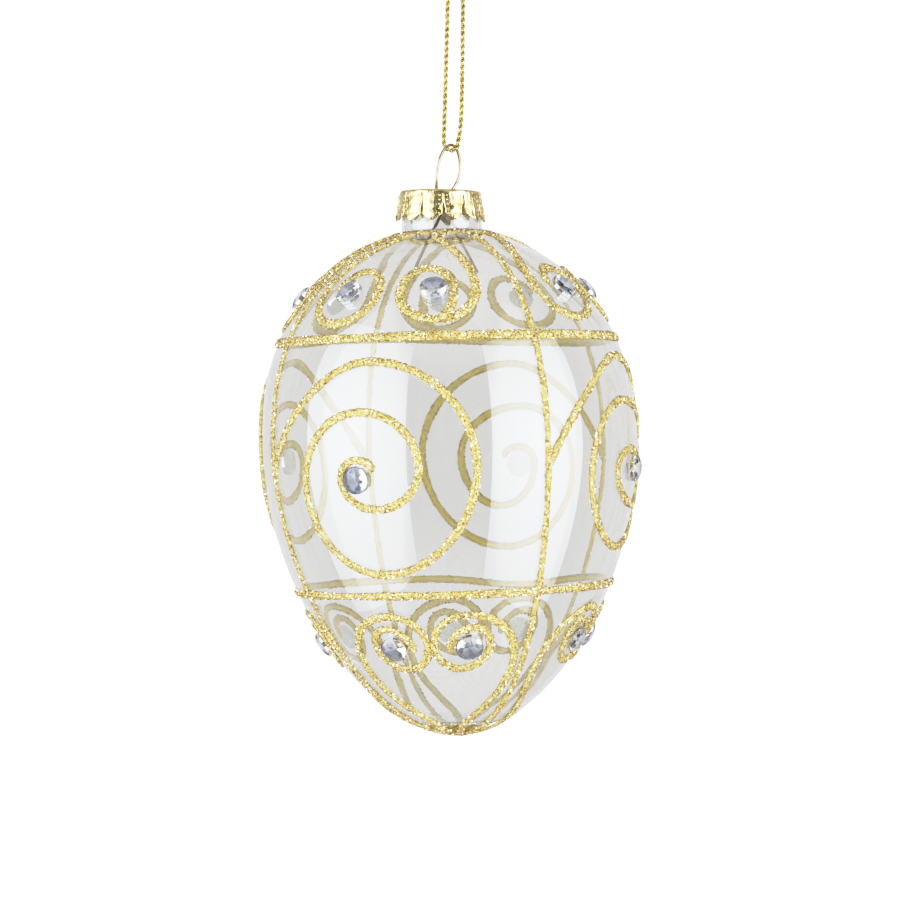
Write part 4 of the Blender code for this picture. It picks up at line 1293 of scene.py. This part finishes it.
# %% Glitter lines on the glass
glitter_paints = {
    "Chip_Material": glitter_finish,
    "Glue_Material": glue_finish,
    "Underside_Material": underside_finish,
}
glitter_pieces = []
for name, lines, seed in (
    ("glitter_bands", BANDS, 11),
    ("glitter_meridians", MERIDIANS, 31),
    ("glitter_coils", COIL_LINES, 51),
    ("glitter_upper_curls", UPPER_CURLS, 71),
    ("glitter_lower_curls", LOWER_CURLS, 91),
):
    piece = add_mounds(name, lines, seed)
    run_tree(piece, glitter_tree, Seed=seed, **glitter_paints)
    glitter_pieces.append(hang(piece))

BEAD_SIDES = 24
BEAD_RISE = 0.6 * MM
bead_outline = [(0.0, -TIP_DEPTH - BEAD_RISE)]
for share in (0.35, 0.7, 1.0):
    (spot_out,), (normal_out,) = on_glass([90.0], [TIP_RUN - TIP_BEAD_RADIUS * share], 0.0)
    lift = FOOT_LIFT + BEAD_RISE * (1.0 - share**4)
    bead_outline.append((spot_out[0] + normal_out[0] * lift, spot_out[2] + normal_out[2] * lift))
for share in (0.7, 0.0):
    (spot_out,), _ = on_glass([90.0], [TIP_RUN - TIP_BEAD_RADIUS * share], FOOT_LIFT)
    bead_outline.append((spot_out[0] if share else 0.0, spot_out[2]))
bead = add_piece("glitter_tip", *turned_parts(bead_outline[::-1], BEAD_SIDES))
marks = bead.data.attributes.new("chips_here", "BOOLEAN", "FACE")
marks.data.foreach_set("value", [p.index >= 2 * BEAD_SIDES for p in bead.data.polygons])
run_tree(bead, glitter_tree, Seed=7, **glitter_paints)
glitter_pieces.append(hang(bead))
for piece in glitter_pieces:
    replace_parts(piece, "glitter_tracery")

# %% [markdown]
# ## The stones
# Each stone is a round flat-back: a clear crown cut to an eight-sided table, over a shallow mirrored foil.
# The crown's facets follow the classic brilliant pattern: a table, eight star facets, eight kites and
# sixteen small facets down to the girdle. One crown and one foil are modelled, and a tree places a copy at
# every stone's place, upright on the glass and turned at random.

# %% One crown and one foil
STONE_TABLE = 0.52
STONE_TOP = 1.85 * MM
GIRDLE_TOP = 1.02 * MM
GIRDLE_BASE = 0.85 * MM
CULET = 0.10 * MM
STAR_REACH = 0.78
PAVILION_REACH = 0.55
FOIL_GAP = 0.02 * MM
FOIL_EDGE = 0.03 * MM
BACK_SIDES = 24
BACK_RADIUS = STONE_RADIUS * 0.985
BACK_THICKNESS = 0.022 * MM


def ring_points(count, radius, height, first_deg=0.0):
    """Points of a level circle."""
    angle = np.radians(first_deg + 360.0 / count * np.arange(count))
    return [(radius * math.cos(a), radius * math.sin(a), height) for a in angle]


def pavilion_points(radius, drop):
    """The girdle's foot, the middle ring and the culet of the stone's underside."""
    middle = GIRDLE_BASE + (CULET - GIRDLE_BASE) * (1 - PAVILION_REACH * math.cos(math.pi / 8))
    return (
        ring_points(16, radius, GIRDLE_BASE - drop)
        + ring_points(8, radius * PAVILION_REACH, middle - drop, 22.5)
        + [(0.0, 0.0, CULET - drop)]
    )


def pavilion_faces(first, upward):
    """Its facets, where first is the girdle's first point. They face up on the foil and down on the crown."""
    found = []
    for k in range(8):
        middle, after = first + 16 + k, first + 16 + (k + 1) % 8
        rim_at = [first + (2 * k + i) % 16 for i in range(4)]
        found.append((first + 24, middle, after))
        found.append((middle, rim_at[0], rim_at[1]))
        found.append((middle, rim_at[1], rim_at[2]))
        found.append((middle, rim_at[2], after))
    return found if upward else [face[::-1] for face in found]


crown_rise = STONE_TOP - GIRDLE_TOP
star_share = 1 - (STAR_REACH * math.cos(math.pi / 8) - STONE_TABLE) / (1 - STONE_TABLE)
points = (
    ring_points(8, STONE_RADIUS * STONE_TABLE, STONE_TOP)
    + ring_points(8, STONE_RADIUS * STAR_REACH, GIRDLE_TOP + crown_rise * star_share, 22.5)
    + ring_points(16, STONE_RADIUS, GIRDLE_TOP)
    + pavilion_points(STONE_RADIUS, 0.0)
)
faces = [tuple(range(8))]
for k in range(8):
    here, after, star, before = k, (k + 1) % 8, 8 + k, 8 + (k - 1) % 8
    girdle = [16 + (2 * k + i) % 16 for i in range(3)]
    faces.append((here, star, after))
    faces.append((here, before, girdle[0], star))
    faces.append((star, girdle[0], girdle[1]))
    faces.append((star, girdle[1], girdle[2]))
for k in range(16):
    faces.append((16 + k, 32 + k, 32 + (k + 1) % 16, 16 + (k + 1) % 16))
faces += pavilion_faces(32, False)
crown_pattern = add_piece("crown_pattern", points, faces, smooth=False)

foil_points = pavilion_points(STONE_RADIUS, FOIL_GAP) + ring_points(16, STONE_RADIUS, FOIL_EDGE)
foil_faces = pavilion_faces(0, True)
foil_faces += [(k, 25 + k, 25 + (k + 1) % 16, (k + 1) % 16) for k in range(16)]
foil_faces.append(tuple(range(25, 41))[::-1])
foil_pattern = add_piece("foil_pattern", foil_points, foil_faces, smooth=False)

back_points = ring_points(BACK_SIDES, BACK_RADIUS, 0.0) + ring_points(BACK_SIDES, BACK_RADIUS, BACK_THICKNESS)
back_faces = [tuple(range(BACK_SIDES))[::-1], tuple(range(BACK_SIDES, 2 * BACK_SIDES))]
for k in range(BACK_SIDES):
    after = (k + 1) % BACK_SIDES
    back_faces.append((k, after, BACK_SIDES + after, BACK_SIDES + k))
back_pattern = add_piece("back_pattern", back_points, back_faces, smooth=False)

# %% The stone tree, and the stones
stone_tree, tree_in, tree_out = new_tree(
    "Set stones",
    {
        "Stone": ("NodeSocketObject", None),
        "Seed": ("NodeSocketInt", 3),
        "Material": ("NodeSocketMaterial", None),
    },
)
nodes = stone_tree.nodes
facing = nodes.new("GeometryNodeInputNamedAttribute")
facing.data_type = "FLOAT_VECTOR"
facing.inputs["Name"].default_value = "facing"
upright = nodes.new("FunctionNodeAlignRotationToVector")
upright.axis = "Z"
model = nodes.new("GeometryNodeObjectInfo")
place_stones = nodes.new("GeometryNodeInstanceOnPoints")
own_turn = nodes.new("FunctionNodeRandomValue")
own_turn.data_type = "FLOAT_VECTOR"
own_turn.inputs[0].default_value = (0.0, 0.0, 0.0)
own_turn.inputs[1].default_value = (0.0, 0.0, ANY_TURN)
turn_stones = nodes.new("GeometryNodeRotateInstances")
stones_real = nodes.new("GeometryNodeRealizeInstances")
stone_paint = nodes.new("GeometryNodeSetMaterial")
link_all(
    stone_tree,
    (tree_in, "Geometry", place_stones, "Points"),
    (tree_in, "Stone", model, "Object"),
    (model, "Geometry", place_stones, "Instance"),
    (facing, "Attribute", upright, "Vector"),
    (upright, 0, place_stones, "Rotation"),
    (tree_in, "Seed", own_turn, "Seed"),
    (own_turn, 0, turn_stones, "Rotation"),
    (place_stones, 0, turn_stones, "Instances"),
    (turn_stones, 0, stones_real, 0),
    (stones_real, 0, stone_paint, "Geometry"),
    (tree_in, "Material", stone_paint, "Material"),
    (stone_paint, 0, tree_out, 0),
)

stone_places = [(coil[3], run_at(coil[4])) for coil in COILS]
stone_places += [(place[0], run_at(UPPER_STONE_HEIGHT)) for place in UPPER_STONES]
stone_places += [(place[0], run_at(-LOWER_STONE_DEPTH)) for place in LOWER_STONES]
stone_spots, stone_normals = on_glass(*np.array(stone_places).T, 0.05 * MM)
stone_nodes = [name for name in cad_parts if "stone" in name]
stones = []
for name, pattern, finish in (
    ("stone_crowns", crown_pattern, crystal_finish),
    ("stone_foils", foil_pattern, foil_finish),
    ("stone_backs", back_pattern, backing_finish),
):
    piece = add_piece(name, stone_spots, [])
    facing_values = piece.data.attributes.new("facing", "FLOAT_VECTOR", "POINT")
    facing_values.data.foreach_set("vector", stone_normals.astype(np.float32).ravel())
    run_tree(piece, stone_tree, Stone=pattern, Material=finish)
    bpy.data.objects.remove(pattern)
    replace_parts(hang(piece), *stone_nodes)
    stones.append(piece)

# %% [markdown]
# ## The cap
# The cap is one thin gold sheet drawn over the neck. Its skirt is slit into twelve petals that flare and
# end in points, with rows of embossed dots. Thin sheet buckles when it is pressed, and those soft dents are
# what breaks its reflections up, so the petals get a shallow random relief as well as their own bulge.

# %% Cap sheet
PETALS = 12
PETAL_TURN_DEG = 4.0
CAP_HEIGHT = 7.6 * MM
CAP_FLARE = 0.9 * MM
CAP_CORNER = 0.6 * MM
SLIT_TOP = 3.2 * MM
SLIT_WIDTH = 1.0 * MM
PETAL_POINT = 1.5 * MM
CAP_RADIUS = NECK_RADIUS - NECK_TAPER + CLEARANCE + CAP_SHEET
PETAL_COLUMNS = 14
PETAL_BULGE = 0.30 * MM
DENT_DEPTH = 0.13 * MM
DENT_WAVES, DENT_WAVE_SPREAD = 9, 5
DENT_FALL_PER_MM = 1.3
DENT_LEVEL = 3.5
EASE_DEPTH = 1.5 * MM
LID_DISH = 0.12 * MM
SHEET_SHOWN = 0.22 * MM
cap_random = np.random.default_rng(5)
slit_share = cap_random.uniform(0.15, 0.5, PETALS)
slit_share[0] = 1.0
petal_flare = cap_random.uniform(0.6, 1.2, PETALS)
petal_trim = cap_random.uniform(0.0, 0.8, PETALS) * MM
dents = cap_random.normal(0, 1, (10, 4))


def dent(angle, depth):
    """Soft buckles of the sheet, about -1 to 1."""
    total = 0.0
    for strength, turn_share, fall, phase in dents:
        waves = round(DENT_WAVES + DENT_WAVE_SPREAD * turn_share)
        total += strength * math.sin(angle * waves + fall * depth / MM * DENT_FALL_PER_MM + phase * 3)
    return total / DENT_LEVEL


def petal_angle(petal, share):
    """Where a share across a petal lies round the cap."""
    return math.radians(PETAL_TURN_DEG) + 2 * math.pi / PETALS * (petal + share)


def on_cap(radius, angle, height):
    """A point round the cap's own axis, from the front."""
    return radius * math.sin(angle), -radius * math.cos(angle), height


def cap_spot(petal, share, depth):
    """The sheet at a share across a petal and a depth under the cap's top."""
    slit = SLIT_WIDTH * slit_share[petal] * min(1.0, max(0.0, depth - SLIT_TOP) / EASE_DEPTH) ** 0.7
    half = math.pi / PETALS
    skirt_share = max(0.0, depth - CAP_CORNER) / (CAP_HEIGHT - CAP_CORNER)
    reach = CAP_RADIUS + CAP_FLARE * petal_flare[petal] * skirt_share
    narrow = slit / 2 / reach
    angle = petal_angle(petal, 0.5) + (share - 0.5) * 2 * (half - narrow)
    reach += PETAL_BULGE * (1 - (2 * share - 1) ** 2) * min(1.0, depth / CAP_HEIGHT)
    reach += DENT_DEPTH * dent(angle, depth) * min(1.0, depth / EASE_DEPTH)
    return on_cap(reach, angle, -depth)


depths = np.concatenate([np.linspace(CAP_CORNER, SLIT_TOP, 7), np.linspace(SLIT_TOP, CAP_HEIGHT, 14)[1:]])
columns = np.linspace(0, 1, PETAL_COLUMNS + 1)
lid_radii = [(CAP_RADIUS - CAP_CORNER) * share for share in (0.35, 0.7, 1.0)]
top_rows = [(radius, -LID_DISH * (1 - radius / CAP_RADIUS)) for radius in lid_radii]
for bend in np.radians((30.0, 60.0)):
    top_rows.append((CAP_RADIUS - CAP_CORNER * (1 - math.sin(bend)), -CAP_CORNER * (1 - math.cos(bend))))
points, faces = [], []
for petal in range(PETALS):
    start = len(points)
    for radius, height in top_rows:
        points.extend(on_cap(radius, petal_angle(petal, share), height) for share in columns)
    for depth in depths:
        below = max(0.0, depth - SLIT_TOP) / (CAP_HEIGHT - SLIT_TOP)
        for share in columns:
            foot_rise = PETAL_POINT * abs(2 * share - 1) ** 1.3 + petal_trim[petal]
            points.append(cap_spot(petal, share, depth - foot_rise * below))
    wide = PETAL_COLUMNS + 1
    for row in range(len(top_rows) + len(depths) - 1):
        for column in range(PETAL_COLUMNS):
            at = start + row * wide + column
            faces.append((at, at + wide, at + wide + 1, at + 1))
    lid_middle = len(points)
    points.append((0.0, 0.0, -LID_DISH))
    for column in range(PETAL_COLUMNS):
        faces.append((lid_middle, start + column, start + column + 1))
cap = add_piece("cap", points, faces, gold_finish)
welded = cap.modifiers.new("weld", "WELD")
welded.merge_threshold = 0.02 * MM
sheet = cap.modifiers.new("sheet", "SOLIDIFY")
sheet.thickness = SHEET_SHOWN
sheet.offset = -1.0

# %% [markdown]
# The dots are pressed in from behind, in two columns of five on every petal. They repeat, so a tree puts a
# flattened ball on each marked spot.

# %% Embossed dots
dot_tree, tree_in, tree_out = new_tree(
    "Emboss dots",
    {
        "Dot Radius": ("NodeSocketFloat", 0.27 * MM),
        "Material": ("NodeSocketMaterial", None),
    },
)
nodes = dot_tree.nodes
ball = nodes.new("GeometryNodeMeshIcoSphere")
ball.inputs["Subdivisions"].default_value = 2
place_dots = nodes.new("GeometryNodeInstanceOnPoints")
dots_real = nodes.new("GeometryNodeRealizeInstances")
dots_smooth = nodes.new("GeometryNodeSetShadeSmooth")
dot_paint = nodes.new("GeometryNodeSetMaterial")
link_all(
    dot_tree,
    (tree_in, "Geometry", place_dots, "Points"),
    (tree_in, "Dot Radius", ball, "Radius"),
    (ball, "Mesh", place_dots, "Instance"),
    (place_dots, 0, dots_real, 0),
    (dots_real, 0, dots_smooth, 0),
    (dots_smooth, 0, dot_paint, "Geometry"),
    (tree_in, "Material", dot_paint, "Material"),
    (dot_paint, 0, tree_out, 0),
)

DOT_COLUMNS = (0.17, 0.83)
DOT_DEPTHS_MM = [1.5 + 1.05 * step for step in range(5)]
DOT_SINK = 0.12 * MM
dot_spots = []
for petal in range(PETALS):
    for share in DOT_COLUMNS:
        for depth_mm in DOT_DEPTHS_MM:
            x, y, z = cap_spot(petal, share, depth_mm * MM)
            inward = 1 - DOT_SINK / math.hypot(x, y)
            dot_spots.append((x * inward, y * inward, z))
dots = add_piece("cap_dots", dot_spots, [])
run_tree(dots, dot_tree, Material=gold_finish)

graph = bpy.context.evaluated_depsgraph_get()
cap.data = bpy.data.meshes.new_from_object(cap.evaluated_get(graph), depsgraph=graph)
cap.modifiers.clear()
ON_NECK = Matrix.Translation((0.0, 0.0, CAP_TOP)) @ Matrix.Rotation(math.radians(CAP_LEAN_DEG), 4, "Y")
for piece in (cap, dots):
    piece.data.transform(ON_NECK)
    hang(piece)
    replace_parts(piece, "gold_cap")

# %% [markdown]
# ## The wire
# One springy wire makes the ring: its legs cross under the cap and spread inside the glass, which is what
# holds the cap on. It is a tube along the same line as its CAD solid, with far more points.

# %% Wire ring and legs
WIRE_DIAMETER = 0.75 * MM
RING_MIDDLE = 4.7 * MM
RING_HALF_WIDTH = 4.9 * MM
RING_STEPS = 10
LEG_REACH = 15.0 * MM
LEG_DROP = 18.8 * MM
LEG_ROOM = 1.4 * MM
CROSSING_DROP = 3.0 * MM
WIRE_STEP = 0.35 * MM
WIRE_SIDES = 16
apart = WIRE_DIAMETER / 2 + CLEARANCE
neck_spread = NECK_RADIUS - GLASS_WALL - WIRE_DIAMETER / 2 - LEG_ROOM
neck_drop = CAP_TOP - foot


def leg(side):
    """One leg's (along, across, height) from its foot in the glass up to the crossing."""
    return [
        (side * LEG_REACH, -side * apart, -LEG_DROP),
        (side * neck_spread, -side * apart, -neck_drop),
        (0.0, -side * apart, -CROSSING_DROP),
    ]


half_height = RING_HEIGHT - RING_MIDDLE
start_angle = math.asin(RING_MIDDLE / half_height)
wire_route = leg(1.0)
for i in range(RING_STEPS + 1):
    angle = math.pi + start_angle - (math.pi + 2 * start_angle) * i / RING_STEPS
    height = RING_MIDDLE + half_height * math.sin(angle)
    share = max(0.0, height / RING_HEIGHT) ** 0.7
    wire_route.append(
        (RING_HALF_WIDTH * math.cos(angle) + RING_LEAN_ALONG * share, RING_LEAN_ACROSS * share, height)
    )
wire_route += leg(-1.0)[::-1]
base = Vector((RING_SHIFT, 0.0, CAP_TOP))
wire_spots = [base + RING_ALONG * a + RING_ACROSS * c + Vector((0.0, 0.0, h)) for a, c, h in wire_route]
wire_line, _ = even_steps(smooth_route([tuple(s) for s in wire_spots], 24), WIRE_STEP)
wire_radius = np.full(len(wire_line), WIRE_DIAMETER / 2)
wire_radius[[0, -1]] *= 0.5
wire = hang(add_piece("wire", *tube_parts(wire_line, wire_radius, WIRE_SIDES), wire_finish))
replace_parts(wire, "wire_hanger")

# %% [markdown]
# ## The body
# Everything hangs as one body, and the cord and its knot take the place of their CAD parts.

# %% One body, and the cord in place of its CAD parts
for piece in (glass, *glitter_pieces, *stones, cap, dots, wire, cord, knot):
    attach(piece, "root")
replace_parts(cord, "cord_loop")
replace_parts(knot, "cord_knot")
triangles = 0
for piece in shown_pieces():
    piece.data.calc_loop_triangles()
    triangles += len(piece.data.loop_triangles)
print("triangles in all:", triangles)
